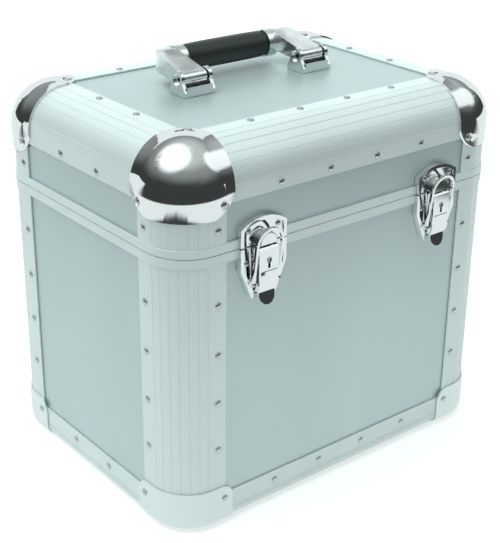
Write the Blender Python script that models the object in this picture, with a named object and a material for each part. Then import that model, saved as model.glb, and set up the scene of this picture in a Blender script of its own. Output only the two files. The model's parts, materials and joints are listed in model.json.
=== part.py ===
"""Record carrying case: aluminium panels in ribbed edge profiles, ball corners on the lid,
two key latches on the front, two stop hinges at the back and a swing handle on the lid.

Metres, +Z up. The front, with the latches, faces -Y. The feet stand on Z = 0.
"""
import math

import bmesh
import bpy
from mathutils import Matrix, Vector

# Overall size over the edge profiles, with the lid shut
CASE_WIDTH = 0.378
CASE_DEPTH = 0.279
CASE_HEIGHT = 0.3505
FOOT_PROJECTION = 0.003
LID_HEIGHT = 0.0893
SEAM_GAP = 0.0006

# Fits and working values
FIT = 0.0003
OVERRUN = 0.002
ARC_STEPS = 6

# Panels and sheet
PANEL_THICKNESS = 0.006
SHEET = 0.0015
LINING_THICKNESS = 0.0025
LINING_FLAT = math.radians(20)

# Rounded and ribbed edge profiles of the posts and of the lid's top edges
EDGE_RADIUS = 0.038
POST_LEG = 0.0513
LID_LEG = 0.0478
INNER_LIP = 0.006
GROOVE_COUNT = 7
GROOVE_PITCH = 0.0082
GROOVE_WIDTH = 0.0013
GROOVE_DEPTH = 0.0006
EDGE_END = 0.0520

# Flat angle profiles along the bottom edges
BOTTOM_LEG = 0.0292
BOTTOM_RADIUS = 0.009
BOTTOM_GROOVES = (0.0100, 0.0125)
BOTTOM_GROOVE_WIDTH = 0.0010
BOTTOM_GROOVE_DEPTH = 0.0005

# Rims of the lid and the base
LID_RIM_HEIGHT = 0.0074
BASE_RIM_HEIGHT = 0.0083
RIM_PROUD = 0.0010
RIM_WEB = 0.0045
TONGUE_DEPTH = 0.0035
TONGUE_WIDTH = 0.0020
TONGUE_HEIGHT = 0.0025
TONGUE_CLEARANCE = 0.0005
RIM_CORNER_STEPS = 5

# Ball corners of the lid
BALL_CENTRE = 0.0405
BALL_RADIUS = 0.0436
BALL_SKIRT = 0.0018
BALL_REACH = 0.0585
BALL_TRIM_CENTRE = 0.028
BALL_TRIM_RADIUS = 0.0440
BALL_SEAT_INSET = 0.0475
BALL_SEAT_LEVEL = 0.0013
BALL_SEAT_RADIUS = 0.0044
BALL_SEGMENTS = 24
BALL_RINGS = 12
SKIN_STEPS = 5
FITTED_STEPS = 8

# Corner caps of the base
CAP_THICKNESS = 0.0018
CAP_REACH = 0.058
CAP_HEIGHT = 0.038
CAP_LOBE_RADIUS = 0.012
CAP_BEVEL_STEPS = 3

# Rubber feet
FOOT_RADIUS = 0.011
FOOT_INSET = 0.075
FOOT_SIDES = 16
FOOT_TAPER = 0.0015

# Front latches, heights counted from the seam, depths outwards from the profiles' outer plane
LATCH_INSET = 0.0871
LATCH_WIDTH = 0.0484
LATCH_SPLIT = 0.0006
CATCH_SHOULDER = 0.0165
CATCH_TOP = 0.0245
LATCH_STRAIGHT = 0.0200
LATCH_BOTTOM = 0.0465
LATCH_BOTTOM_WIDTH = 0.0260
LATCH_FRONT = 0.0040
LATCH_FLOOR = 0.0026
LATCH_BORDER = 0.0035
NOSE_HALF_WIDTH = 0.0096
NOSE_TOP = 0.0120
NOSE_FACE = 0.0104
NOSE_EDGE = 0.0007
LEVER_HALF_WIDTH = 0.0102
LEVER_WALL = 0.0013
LEVER_FRONT = 0.0110
LEVER_BOTTOM = 0.0400
LEVER_PIVOT_DROP = 0.0042
LEVER_PIVOT_OUT = 0.0072
LEVER_TOP_RADIUS = 0.0043
LEVER_BREAK = 0.0350
LEVER_CHIN = 0.0018
LEVER_GROOVE_DROP = 0.0225
LEVER_GROOVE_HEIGHT = 0.0015
LEVER_GROOVE_DEPTH = 0.0007
LEVER_SCORE_HALF = 0.0085
TAB_HALF_WIDTH = 0.0085
TAB_END = 0.0530
TAB_THICKNESS = 0.0015
TAB_CURL = 0.0030
TAB_STEPS = 5
EAR_INNER = 0.0050
EAR_OUTER = 0.0072
EAR_RADIUS = 0.0022
PIVOT_PIN_RADIUS = 0.0010
PIN_CLEARANCE = 0.00015
PIN_SIDES = 10
BAIL_PIVOT_DROP = 0.0330
BAIL_PIVOT_OUT = 0.0066
BAIL_INNER = 0.0120
BAIL_OUTER = 0.0144
BAIL_TOP = 0.0173
BAIL_THICKNESS = 0.0026
BAIL_STEPS = 12
BAIL_EYE_RADIUS = 0.0023
BAIL_STUD_RADIUS = 0.0010
KEYHOLE_DROP = 0.0125
KEYHOLE_RADIUS = 0.0029
KEYHOLE_SLOT = 0.0024
KEYHOLE_LENGTH = 0.0072
LOCK_RADIUS = 0.0042
LOCK_DEPTH = 0.0036
KEY_POST_RADIUS = 0.0009

# Hinges at the back
HINGE_INSET = 0.089
HINGE_WIDTH = 0.048
HINGE_KNUCKLE = 0.0032
HINGE_PIN_RADIUS = 0.0015
HINGE_SHEET = 0.0012
HINGE_LEAF_HEIGHT = 0.034
HINGE_JOGGLE = 0.0095
HINGE_JOGGLE_RUN = 0.0030
HINGE_END_GAP = 0.0004

# Handle on the lid
BRACKET_SPACING = 0.129
BRACKET_HALF_WIDTH = 0.019
BRACKET_HALF_LENGTH = 0.0115
BRACKET_BASE = 0.0025
BRACKET_EAR = 0.0045
BRACKET_LIP = 0.0060
BRACKET_LIP_THICKNESS = 0.0020
BRACKET_TOP_RADIUS = 0.0072
BRACKET_DISH_RADIUS = 0.0052
BRACKET_DISH_DEPTH = 0.0015
HANDLE_PIVOT_HEIGHT = 0.0125
HANDLE_PIN_RADIUS = 0.0024
ARM_KNUCKLE_RADIUS = 0.0054
ARM_HALF_WIDTH = 0.0142
ARM_REACH = 0.0450
ARM_RISE = 0.0065
ARM_END_RADIUS = 0.0090
ARM_CORNER_RADIUS = 0.0130
GRIP_REACH = 0.0460
GRIP_RISE = 0.0040
GRIP_RADIUS = 0.0125
GRIP_EDGE = 0.0020
RING_RADIUS = 0.0132
RING_WIDTH = 0.0070
GRIP_SIDES = 20

# Places that follow from the sizes
HALF_W = CASE_WIDTH / 2
HALF_D = CASE_DEPTH / 2
TOP = FOOT_PROJECTION + CASE_HEIGHT
SEAM = TOP - LID_HEIGHT
PANEL_OUT = SHEET + FIT
PANEL_IN = PANEL_OUT + PANEL_THICKNESS
LIP_OUT = PANEL_IN + FIT
LIP_IN = LIP_OUT + SHEET
PANEL_EDGE = EDGE_RADIUS + SHEET + FIT
LINING_OUT = LIP_IN + FIT
HINGE_Y = HALF_D + RIM_PROUD + FIT + HINGE_KNUCKLE
RIM_FACE = -RIM_PROUD

# Colours as linear red, green and blue
SATIN = ((0.56, 0.63, 0.62), 1.0, 0.36)
RIBBED = ((0.66, 0.73, 0.72), 1.0, 0.30)
CHROME = ((0.80, 0.81, 0.82), 1.0, 0.06)
STEEL = ((0.50, 0.51, 0.52), 1.0, 0.30)
RUBBER = ((0.020, 0.023, 0.022), 0.0, 0.55)
FOAM = ((0.030, 0.031, 0.034), 0.0, 0.95)

WHOLE_TURN = 2 * math.pi
QUARTER = math.pi / 2


def material(name, look):
    """Return a Principled material with the colour, metal and roughness of a look."""
    colour, metallic, roughness = look
    made = bpy.data.materials.new(name)
    made.use_nodes = True
    shader = made.node_tree.nodes["Principled BSDF"]
    shader.inputs["Base Color"].default_value = (*colour, 1.0)
    shader.inputs["Metallic"].default_value = metallic
    shader.inputs["Roughness"].default_value = roughness
    return made


def mesh_object(name, bm):
    """Turn the bmesh of one solid into an object whose faces point outwards."""
    bmesh.ops.recalc_face_normals(bm, faces=bm.faces[:])
    if bm.calc_volume(signed=True) < 0:
        bmesh.ops.reverse_faces(bm, faces=bm.faces[:])
    mesh = bpy.data.meshes.new(name)
    bm.to_mesh(mesh)
    bm.free()
    made = bpy.data.objects.new(name, mesh)
    bpy.context.collection.objects.link(made)
    return made


def finish(made, name, look, pivot=None):
    """Name a sub-part, give it its material and hang it on its joint's empty."""
    made.name = name
    made.data.name = name
    made.data.materials.clear()
    made.data.materials.append(material(name + "_finish", look))
    if pivot is not None:
        made.parent = pivot
        made.matrix_parent_inverse = Matrix.Translation(-pivot_place(pivot))
    return made


def pivot_place(pivot):
    """World place of an empty, through its parents."""
    place = pivot.location.copy()
    return place + pivot_place(pivot.parent) if pivot.parent else place


def pivot_at(name, place, parent=None):
    """Make an empty on a joint's axis."""
    made = bpy.data.objects.new(name, None)
    bpy.context.collection.objects.link(made)
    made.empty_display_size = EDGE_RADIUS
    made.location = Vector(place) - (pivot_place(parent) if parent else Vector())
    made.parent = parent
    return made


def prism(outline, start, end, place):
    """Extrude a closed outline of (a, b) points from start to end, through place(a, b, t)."""
    bm = bmesh.new()
    near = [bm.verts.new(place(a, b, start)) for a, b in outline]
    far = [bm.verts.new(place(a, b, end)) for a, b in outline]
    bm.faces.new(near)
    bm.faces.new(list(reversed(far)))
    for i in range(len(outline)):
        j = (i + 1) % len(outline)
        bm.faces.new((near[i], far[i], far[j], near[j]))
    return mesh_object("prism", bm)


def box(low, high):
    """Make a box between two corners."""
    outline = [(low[0], low[1]), (high[0], low[1]), (high[0], high[1]), (low[0], high[1])]
    return prism(outline, low[2], high[2], lambda a, b, t: (a, b, t))


def evaluated(made):
    """Replace an object's mesh by its evaluated mesh and drop the modifiers."""
    graph = bpy.context.evaluated_depsgraph_get()
    mesh = bpy.data.meshes.new_from_object(made.evaluated_get(graph))
    made.modifiers.clear()
    made.data = mesh
    return made


def combine(made, tools, operation):
    """Apply a Boolean with each tool in turn and remove the tools."""
    for tool in tools:
        step = made.modifiers.new(operation, "BOOLEAN")
        step.operation = operation
        step.object = tool
        evaluated(made)
        bpy.data.objects.remove(tool)
    return made


def cut(made, *tools):
    """Take the tools away from an object."""
    return combine(made, tools, "DIFFERENCE")


def fuse(made, *tools):
    """Join the tools to an object as one body."""
    return combine(made, tools, "UNION")


def keep_common(made, *tools):
    """Keep what an object shares with the tools."""
    return combine(made, tools, "INTERSECT")


def arc(centre, radius, start, end, steps=ARC_STEPS):
    """Points of an arc, both ends included."""
    turn = (end - start) / steps
    return [(centre[0] + radius * math.cos(start + i * turn),
             centre[1] + radius * math.sin(start + i * turn)) for i in range(steps + 1)]


def disc(radius, sides=PIN_SIDES):
    """Outline of a regular polygon about the origin."""
    return arc((0, 0), radius, 0, WHOLE_TURN, sides)[:-1]


def rod(place, axis, radius, length, sides=PIN_SIDES):
    """A round bar from a place along an axis."""
    turn = Vector((0, 0, 1)).rotation_difference(Vector(axis)).to_matrix()
    origin = Vector(place)
    return prism(disc(radius, sides), 0, length, lambda a, b, t: origin + turn @ Vector((a, b, t)))


def corner_place(side_x, side_y):
    """Place (u, v, z) at a corner, u and v counted inwards from the outer planes."""
    return lambda u, v, z: (side_x * (HALF_W - u), side_y * (HALF_D - v), z)


def front_place(side_y):
    """Place (depth, z, x) on the front or the back."""
    return lambda depth, z, x: (x, side_y * (HALF_D - depth), z)


def side_place(side_x):
    """Place (depth, z, y) on the left or the right."""
    return lambda depth, z, y: (side_x * (HALF_W - depth), y, z)


def ribbed_arc():
    """The outer quarter round from (radius, 0) to (0, radius), with its grooves."""
    middle = EDGE_RADIUS * math.pi / 4
    first = middle - (GROOVE_COUNT - 1) / 2 * GROOVE_PITCH
    stations = [(0, 0)]
    for i in range(GROOVE_COUNT):
        centre = first + i * GROOVE_PITCH
        if i:
            stations.append((centre - GROOVE_PITCH / 2, 0))
        stations += [(centre - GROOVE_WIDTH / 2, 0), (centre, GROOVE_DEPTH), (centre + GROOVE_WIDTH / 2, 0)]
    stations.append((EDGE_RADIUS * QUARTER, 0))
    points = []
    for run, depth in stations:
        angle = run / EDGE_RADIUS
        reach = EDGE_RADIUS - depth
        points.append((EDGE_RADIUS - reach * math.sin(angle), EDGE_RADIUS - reach * math.cos(angle)))
    return points


def edge_outline(leg):
    """Section of a rounded edge profile: ribbed round, two flanges and two panel channels."""
    web_out = EDGE_RADIUS + SHEET
    lip_end = EDGE_RADIUS + INNER_LIP
    half = [(0, leg), (SHEET, leg), (SHEET, web_out), (LIP_OUT, web_out), (LIP_OUT, lip_end),
            (LIP_IN, lip_end), (LIP_IN, EDGE_RADIUS)]
    mirrored = [(b, a) for a, b in reversed(half)]
    inner = arc((EDGE_RADIUS, EDGE_RADIUS), EDGE_RADIUS - SHEET, math.pi, QUARTER * 3)
    return ribbed_arc() + half + inner + mirrored


def bottom_outline():
    """Section of the bottom angle profile, with two grooves low on its upright leg."""
    centre = (BOTTOM_RADIUS, BOTTOM_RADIUS)
    outer = arc(centre, BOTTOM_RADIUS, QUARTER * 3, math.pi, CAP_BEVEL_STEPS)
    inner = arc(centre, BOTTOM_RADIUS - SHEET, math.pi, QUARTER * 3, CAP_BEVEL_STEPS)
    grooves = []
    for height in BOTTOM_GROOVES:
        grooves += [(0, height - BOTTOM_GROOVE_WIDTH / 2), (BOTTOM_GROOVE_DEPTH, height),
                    (0, height + BOTTOM_GROOVE_WIDTH / 2)]
    legs = [(0, BOTTOM_LEG), (SHEET, BOTTOM_LEG)]
    return [(BOTTOM_LEG, 0)] + outer + grooves + legs + inner + [(BOTTOM_LEG, SHEET)]


def rounded_plan(depth, steps=RIM_CORNER_STEPS):
    """Plan outline of the case at a depth inside the outer planes, corners rounded alike."""
    radius = EDGE_RADIUS - depth
    points = []
    for side_x, side_y, start in ((1, 1, 0), (-1, 1, 1), (-1, -1, 2), (1, -1, 3)):
        centre = (side_x * (HALF_W - EDGE_RADIUS), side_y * (HALF_D - EDGE_RADIUS))
        points += arc(centre, radius, start * QUARTER, (start + 1) * QUARTER, steps)
    return points


def frame_ring(outline):
    """Sweep a section of (depth, z) points around the case's rounded plan."""
    bm = bmesh.new()
    loops = [[bm.verts.new((x, y, z)) for x, y in rounded_plan(depth)] for depth, z in outline]
    for i, loop in enumerate(loops):
        following = loops[(i + 1) % len(loops)]
        for k in range(len(loop)):
            n = (k + 1) % len(loop)
            bm.faces.new((loop[k], loop[n], following[n], following[k]))
    return mesh_object("ring", bm)


def base_tray(floor, wall_end):
    """The base's lining: floor sheet and walls, open at the top."""
    inner = LINING_OUT + LINING_THICKNESS
    return stacked([(LINING_OUT, floor), (LINING_OUT, wall_end), (inner, wall_end),
                    (inner, floor + LINING_THICKNESS)])


def lid_tray(wall_end):
    """The lid's lining: open below, its top edges rounded inside the ribbed edge profiles."""
    centre = (EDGE_RADIUS, TOP - EDGE_RADIUS)
    outer = arc(centre, EDGE_RADIUS - LINING_OUT, math.pi, QUARTER + LINING_FLAT)
    inner = arc(centre, EDGE_RADIUS - LINING_OUT - LINING_THICKNESS, QUARTER + LINING_FLAT, math.pi)
    wall = LINING_OUT + LINING_THICKNESS
    return stacked(list(reversed(outer)) + [(LINING_OUT, wall_end), (wall, wall_end)] + list(reversed(inner)))


def stacked(levels):
    """Rounded plans joined one after another, (depth, z) each, and closed at both ends."""
    bm = bmesh.new()
    loops = [[bm.verts.new((x, y, z)) for x, y in rounded_plan(depth)] for depth, z in levels]
    for lower, upper in zip(loops, loops[1:]):
        for k in range(len(lower)):
            n = (k + 1) % len(lower)
            bm.faces.new((lower[k], lower[n], upper[n], upper[k]))
    bm.faces.new(loops[0])
    bm.faces.new(loops[-1])
    return mesh_object("lining", bm)


def mapped(master, place):
    """Copy a solid made in corner coordinates through a place function."""
    bm = bmesh.new()
    bm.from_mesh(master.data)
    for vert in bm.verts:
        vert.co = Vector(place(*vert.co))
    return mesh_object("copy", bm)


def corner_block(offset, reach, steps):
    """The lid's rounded corner, grown by an offset, cut off at a reach from the outer planes."""
    made = box((-offset, -offset, -offset), (reach, reach, reach))
    bm = bmesh.new()
    bm.from_mesh(made.data)
    bpy.data.objects.remove(made)
    corner = min(bm.verts, key=lambda vert: sum(vert.co))
    bmesh.ops.bevel(bm, geom=list(corner.link_edges), offset=EDGE_RADIUS + offset, affect="EDGES",
                    segments=steps, profile=0.5, offset_type="OFFSET")
    return mesh_object("corner", bm)


def sphere(centre, radius):
    """A ball about a point on the corner's diagonal."""
    bm = bmesh.new()
    bmesh.ops.create_uvsphere(bm, u_segments=BALL_SEGMENTS, v_segments=BALL_RINGS, radius=radius)
    bmesh.ops.translate(bm, verts=bm.verts[:], vec=(centre, centre, centre))
    return mesh_object("sphere", bm)


def ball_master():
    """The ball corner in corner coordinates: a sphere on a fitted skirt with a rivet seat per face."""
    ball = sphere(BALL_CENTRE, BALL_RADIUS)
    keep_common(ball, box((-EDGE_RADIUS,) * 3, (BALL_REACH,) * 3))
    ball = fuse(corner_block(BALL_SKIRT, BALL_REACH, SKIN_STEPS), ball)
    keep_common(ball, sphere(BALL_TRIM_CENTRE, BALL_TRIM_RADIUS))
    cut(ball, corner_block(FIT, BALL_REACH + OVERRUN, FITTED_STEPS))
    for axis in ((1, 0, 0), (0, 1, 0), (0, 0, 1)):
        place = [-BALL_SEAT_LEVEL if part else BALL_SEAT_INSET for part in axis]
        cut(ball, rod(place, [-part for part in axis], BALL_SEAT_RADIUS, BALL_RADIUS))
    return ball


def cap_block(offset, reach, height, steps):
    """The base's corner with its rounded upright edge and bottom edges, grown by an offset."""
    centre = (EDGE_RADIUS, EDGE_RADIUS)
    outer = arc(centre, EDGE_RADIUS + offset, math.pi, QUARTER * 3, steps)
    outline = outer + [(reach, -offset), (reach, reach), (-offset, reach)]
    made = prism(outline, -offset, height, lambda a, b, t: (a, b, t))
    bm = bmesh.new()
    bm.from_mesh(made.data)
    bpy.data.objects.remove(made)
    edges = []
    for edge in bm.edges:
        ends = [vert.co for vert in edge.verts]
        low = all(end.z < 0 for end in ends)
        cut_side = all(end.x > reach - FIT for end in ends) or all(end.y > reach - FIT for end in ends)
        if low and not cut_side:
            edges.append(edge)
    bmesh.ops.bevel(bm, geom=edges, offset=BOTTOM_RADIUS + offset, affect="EDGES",
                    segments=CAP_BEVEL_STEPS, profile=0.5, offset_type="OFFSET")
    return mesh_object("cap", bm)


def lobe_cutter(end_a, end_b, place):
    """What lies outside a rounded lobe whose square corner would be at (end_a, end_b)."""
    centre = (end_a - CAP_LOBE_RADIUS, end_b - CAP_LOBE_RADIUS)
    round_end = arc(centre, CAP_LOBE_RADIUS, 0, QUARTER)
    outline = [(end_a + OVERRUN, centre[1])] + round_end + [(centre[0], end_b + OVERRUN),
                                                            (end_a + OVERRUN, end_b + OVERRUN)]
    return prism(outline, -BOTTOM_RADIUS, BOTTOM_RADIUS, place)


def cap_master():
    """The base's corner cap in corner coordinates: a shell with rounded lobes on three faces."""
    cap = cap_block(CAP_THICKNESS, CAP_REACH, CAP_HEIGHT, SKIN_STEPS)
    cut(cap, cap_block(FIT, CAP_REACH + OVERRUN, CAP_HEIGHT + OVERRUN, FITTED_STEPS))
    cut(cap, lobe_cutter(CAP_REACH, CAP_HEIGHT, lambda a, b, t: (a, t, b)),
        lobe_cutter(CAP_REACH, CAP_HEIGHT, lambda a, b, t: (t, a, b)),
        lobe_cutter(CAP_REACH, CAP_REACH, lambda a, b, t: (a, b, t)))
    return cap


CORNERS = {"front_left": (-1, -1), "front_right": (1, -1), "back_left": (-1, 1), "back_right": (1, 1)}
SIDES = {"front": -1, "back": 1}
FLANKS = {"left": -1, "right": 1}


def upright_panel(name, place, half_length, low, high, pivot=None):
    """A flat wall panel, held by the channels of the profiles around it."""
    outline = [(PANEL_OUT, low), (PANEL_IN, low), (PANEL_IN, high), (PANEL_OUT, high)]
    return finish(prism(outline, -half_length, half_length, place), name, SATIN, pivot)


def walls(prefix, low, high, pivot=None):
    """Four wall panels between two heights."""
    for word, side in SIDES.items():
        upright_panel(f"{prefix}_panel_{word}", front_place(side), HALF_W - PANEL_EDGE, low, high, pivot)
    for word, side in FLANKS.items():
        upright_panel(f"{prefix}_panel_{word}", side_place(side), HALF_D - PANEL_EDGE, low, high, pivot)


def base_body():
    """Panels, posts, bottom profiles, rim, lining and feet of the base."""
    floor_low = FOOT_PROJECTION + PANEL_OUT
    floor_high = FOOT_PROJECTION + PANEL_IN
    rim_top = SEAM - SEAM_GAP / 2
    rim_low = rim_top - BASE_RIM_HEIGHT
    panel_high = rim_top - RIM_WEB - FIT
    walls("base", floor_high + FIT, panel_high)
    floor = prism(rounded_plan(LIP_OUT), floor_low, floor_high, lambda a, b, t: (a, b, t))
    finish(floor, "base_panel_bottom", SATIN)
    for word, (side_x, side_y) in CORNERS.items():
        post = prism(edge_outline(POST_LEG), FOOT_PROJECTION + BOTTOM_RADIUS + FIT, rim_low - FIT,
                     corner_place(side_x, side_y))
        finish(post, "base_post_" + word, RIBBED)
    reach = POST_LEG + FIT
    for word, side in SIDES.items():
        angle = prism(bottom_outline(), reach - HALF_W, HALF_W - reach, raised(front_place(side)))
        finish(angle, "bottom_profile_" + word, RIBBED)
    for word, side in FLANKS.items():
        angle = prism(bottom_outline(), reach - HALF_D, HALF_D - reach, raised(side_place(side)))
        finish(angle, "bottom_profile_" + word, RIBBED)
    finish(rim(rim_top, -1, BASE_RIM_HEIGHT), "base_rim", RIBBED)
    finish(base_tray(floor_high + FIT, rim_top - SHEET), "base_lining", FOAM)
    feet()


def raised(place):
    """Count a place's height from the underside of the profiles."""
    return lambda depth, z, along: place(depth, z + FOOT_PROJECTION, along)


def rim(seam_face, way, height):
    """A rim: outer band, channel for the panels, web, and a tongue or a groove at the seam."""
    web = seam_face + way * RIM_WEB
    end = seam_face + way * height
    if way < 0:
        tip = seam_face + TONGUE_HEIGHT
        mating = [(TONGUE_DEPTH, seam_face), (TONGUE_DEPTH, tip), (TONGUE_DEPTH + TONGUE_WIDTH, tip),
                  (TONGUE_DEPTH + TONGUE_WIDTH, seam_face)]
    else:
        tip = seam_face + TONGUE_HEIGHT
        near = TONGUE_DEPTH - TONGUE_CLEARANCE
        far = TONGUE_DEPTH + TONGUE_WIDTH + TONGUE_CLEARANCE
        mating = [(near, seam_face), (near, tip), (far, tip), (far, seam_face)]
    outline = [(RIM_FACE, seam_face)] + mating + [
        (LIP_IN, seam_face), (LIP_IN, end), (LIP_OUT, end), (LIP_OUT, web), (SHEET, web), (SHEET, end),
        (RIM_FACE, end)]
    return frame_ring(outline)


def feet():
    """Four low rubber feet under the bottom panel."""
    top = FOOT_PROJECTION + SHEET
    for word, (side_x, side_y) in CORNERS.items():
        place = (side_x * (HALF_W - FOOT_INSET), side_y * (HALF_D - FOOT_INSET))
        rings = [(FOOT_RADIUS - FOOT_TAPER, 0), (FOOT_RADIUS, FOOT_TAPER), (FOOT_RADIUS, top)]
        bm = bmesh.new()
        loops = [[bm.verts.new((place[0] + a, place[1] + b, z)) for a, b in disc(wide, FOOT_SIDES)]
                 for wide, z in rings]
        bm.faces.new(loops[0])
        bm.faces.new(loops[-1])
        for lower, upper in zip(loops, loops[1:]):
            for i in range(FOOT_SIDES):
                j = (i + 1) % FOOT_SIDES
                bm.faces.new((lower[i], lower[j], upper[j], upper[i]))
        finish(mesh_object("foot", bm), "rubber_foot_" + word, RUBBER)


def lid_body(pivot):
    """Panels, ribbed edges, rim with posts, and lining of the lid."""
    rim_low = SEAM + SEAM_GAP / 2
    rim_high = rim_low + LID_RIM_HEIGHT
    walls("lid", rim_low + RIM_WEB + FIT, TOP - PANEL_EDGE, pivot)
    high = TOP - PANEL_OUT
    plan = [(PANEL_EDGE - HALF_W, PANEL_EDGE - HALF_D), (HALF_W - PANEL_EDGE, PANEL_EDGE - HALF_D),
            (HALF_W - PANEL_EDGE, HALF_D - PANEL_EDGE), (PANEL_EDGE - HALF_W, HALF_D - PANEL_EDGE)]
    top = prism(plan, high - PANEL_THICKNESS, high, lambda a, b, t: (a, b, t))
    finish(top, "lid_panel_top", SATIN, pivot)
    section = edge_outline(LID_LEG)
    for word, side in SIDES.items():
        edge = prism(section, EDGE_END - HALF_W, HALF_W - EDGE_END, hung(front_place(side)))
        finish(edge, "lid_edge_" + word, RIBBED, pivot)
    for word, side in FLANKS.items():
        edge = prism(section, EDGE_END - HALF_D, HALF_D - EDGE_END, hung(side_place(side)))
        finish(edge, "lid_edge_" + word, RIBBED, pivot)
    posts = [prism(edge_outline(POST_LEG), rim_high - OVERRUN, TOP - EDGE_END, corner_place(*sides))
             for sides in CORNERS.values()]
    finish(fuse(rim(rim_low, 1, LID_RIM_HEIGHT), *posts), "lid_rim_and_posts", RIBBED, pivot)
    finish(lid_tray(rim_low + SHEET), "lid_lining", FOAM, pivot)


def hung(place):
    """Count a place's height downwards from the top of the profiles."""
    return lambda depth, drop, along: place(depth, TOP - drop, along)


def corner_pieces(pivot):
    """Ball corners on the lid and corner caps on the base."""
    ball = ball_master()
    cap = cap_master()
    for word, sides in CORNERS.items():
        at_corner = corner_place(*sides)
        down = lambda u, v, w: at_corner(u, v, TOP - w)
        up = lambda u, v, w: at_corner(u, v, FOOT_PROJECTION + w)
        finish(mapped(ball, down), "lid_corner_" + word, CHROME, pivot)
        finish(mapped(cap, up), "base_corner_" + word, SATIN)
    bpy.data.objects.remove(ball)
    bpy.data.objects.remove(cap)


def latch_place(centre_x):
    """Place (x, z, out): across the latch, up from the seam, out from the profiles' plane."""
    return lambda x, z, out: (centre_x + x, -HALF_D - out, SEAM + z)


def catch_outline(inset, low=LATCH_SPLIT):
    """Outline of the lid's catch plate, an arch over straight sides."""
    half = LATCH_WIDTH / 2 - inset
    rise = CATCH_TOP - CATCH_SHOULDER
    chord = LATCH_WIDTH / 2
    radius = (chord ** 2 + rise ** 2) / (2 * rise)
    centre = (0, CATCH_TOP - radius)
    swing = math.asin(half / (radius - inset))
    arch = arc(centre, radius - inset, QUARTER - swing, QUARTER + swing)
    return [(-half, low), (half, low)] + arch


def base_plate_outline(inset, high=-LATCH_SPLIT):
    """Outline of the base's latch plate, straight and then tapered."""
    half = LATCH_WIDTH / 2 - inset
    foot = LATCH_BOTTOM_WIDTH / 2 - inset
    return [(-half, high), (-half, -LATCH_STRAIGHT), (-foot, inset - LATCH_BOTTOM),
            (foot, inset - LATCH_BOTTOM), (half, -LATCH_STRAIGHT), (half, high)]


def rim_pocket(low, high, place):
    """Cutter for the back of a latch plate, where it bridges the rim."""
    wide = LATCH_WIDTH / 2 + OVERRUN
    outline = [(-wide, low), (wide, low), (wide, high), (-wide, high)]
    return prism(outline, -PANEL_OUT - OVERRUN, RIM_PROUD + FIT, place)


def latch_plate(outline, recess, pocket, place):
    """A latch plate: a raised border beside a sunk field, hollow where it bridges the rim."""
    plate = prism(outline, -SHEET, LATCH_FRONT, place)
    field = prism(recess, LATCH_FLOOR, LATCH_FRONT + OVERRUN, place)
    return cut(plate, field, rim_pocket(*pocket, place))


def catch(word, centre_x, pivot):
    """The lid's catch plate with its arched nose."""
    place = latch_place(centre_x)
    pocket = (-OVERRUN, SEAM_GAP / 2 + LID_RIM_HEIGHT + FIT)
    plate = latch_plate(catch_outline(0), catch_outline(LATCH_BORDER, -OVERRUN), pocket, place)
    nose = fuse(nose_solid(NOSE_HALF_WIDTH, LATCH_FLOOR - FIT, NOSE_FACE - NOSE_EDGE, place),
                nose_solid(NOSE_HALF_WIDTH - NOSE_EDGE, LATCH_FLOOR, NOSE_FACE, place))
    return finish(fuse(plate, nose), "latch_catch_" + word, CHROME, pivot)


def nose_solid(half, start, end, place):
    """The catch nose between two depths: straight sides under a round top."""
    centre = (0, NOSE_TOP - NOSE_HALF_WIDTH)
    low = LATCH_SPLIT + NOSE_HALF_WIDTH - half
    return prism([(-half, low), (half, low)] + arc(centre, half, 0, math.pi), start, end, place)


def latch_base(word, centre_x):
    """The base's latch plate with two ears and the riveted pin that carries the lever."""
    place = latch_place(centre_x)
    pocket = (-SEAM_GAP / 2 - BASE_RIM_HEIGHT - FIT, OVERRUN)
    plate = latch_plate(base_plate_outline(0), base_plate_outline(LATCH_BORDER, OVERRUN), pocket, place)
    for side in FLANKS.values():
        fuse(plate, ear(side, centre_x))
    half = LEVER_HALF_WIDTH - FIT
    pin = rod((centre_x - half, *lever_axis()), (1, 0, 0), PIVOT_PIN_RADIUS, half * 2)
    return finish(fuse(plate, pin), "latch_base_" + word, CHROME)


def ear(side, centre_x):
    """One ear: a lug with a round top about the lever's pivot."""
    centre = (LEVER_PIVOT_OUT, -LEVER_PIVOT_DROP)
    low = LATCH_FLOOR - FIT
    outline = [(low, centre[1] - EAR_RADIUS), (centre[0], centre[1] - EAR_RADIUS)]
    outline += arc(centre, EAR_RADIUS, -QUARTER, QUARTER)[1:]
    outline.append((low, centre[1] + EAR_RADIUS))
    return prism(outline, side * EAR_INNER, side * EAR_OUTER,
                 lambda out, z, x: (centre_x + x, -HALF_D - out, SEAM + z))


def lever_axis():
    """Y and Z of the lever's pivot."""
    return -HALF_D - LEVER_PIVOT_OUT, SEAM - LEVER_PIVOT_DROP


def bail_axis():
    """Y and Z of the bail's pivot, a little nearer the case than the lever's."""
    return -HALF_D - BAIL_PIVOT_OUT, SEAM - BAIL_PIVOT_DROP


def lever_side():
    """Side outline of the lever's cover, as (out, z): round about the pivot, flat front, broken chin."""
    centre = (LEVER_PIVOT_OUT, -LEVER_PIVOT_DROP)
    front = math.acos((LEVER_FRONT - LEVER_PIVOT_OUT) / LEVER_TOP_RADIUS)
    top = arc(centre, LEVER_TOP_RADIUS, front, math.pi)
    back = centre[0] - LEVER_TOP_RADIUS
    return top + [(back, -LEVER_BOTTOM), (LEVER_FRONT - LEVER_CHIN, -LEVER_BOTTOM), (LEVER_FRONT, -LEVER_BREAK)]


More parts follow.
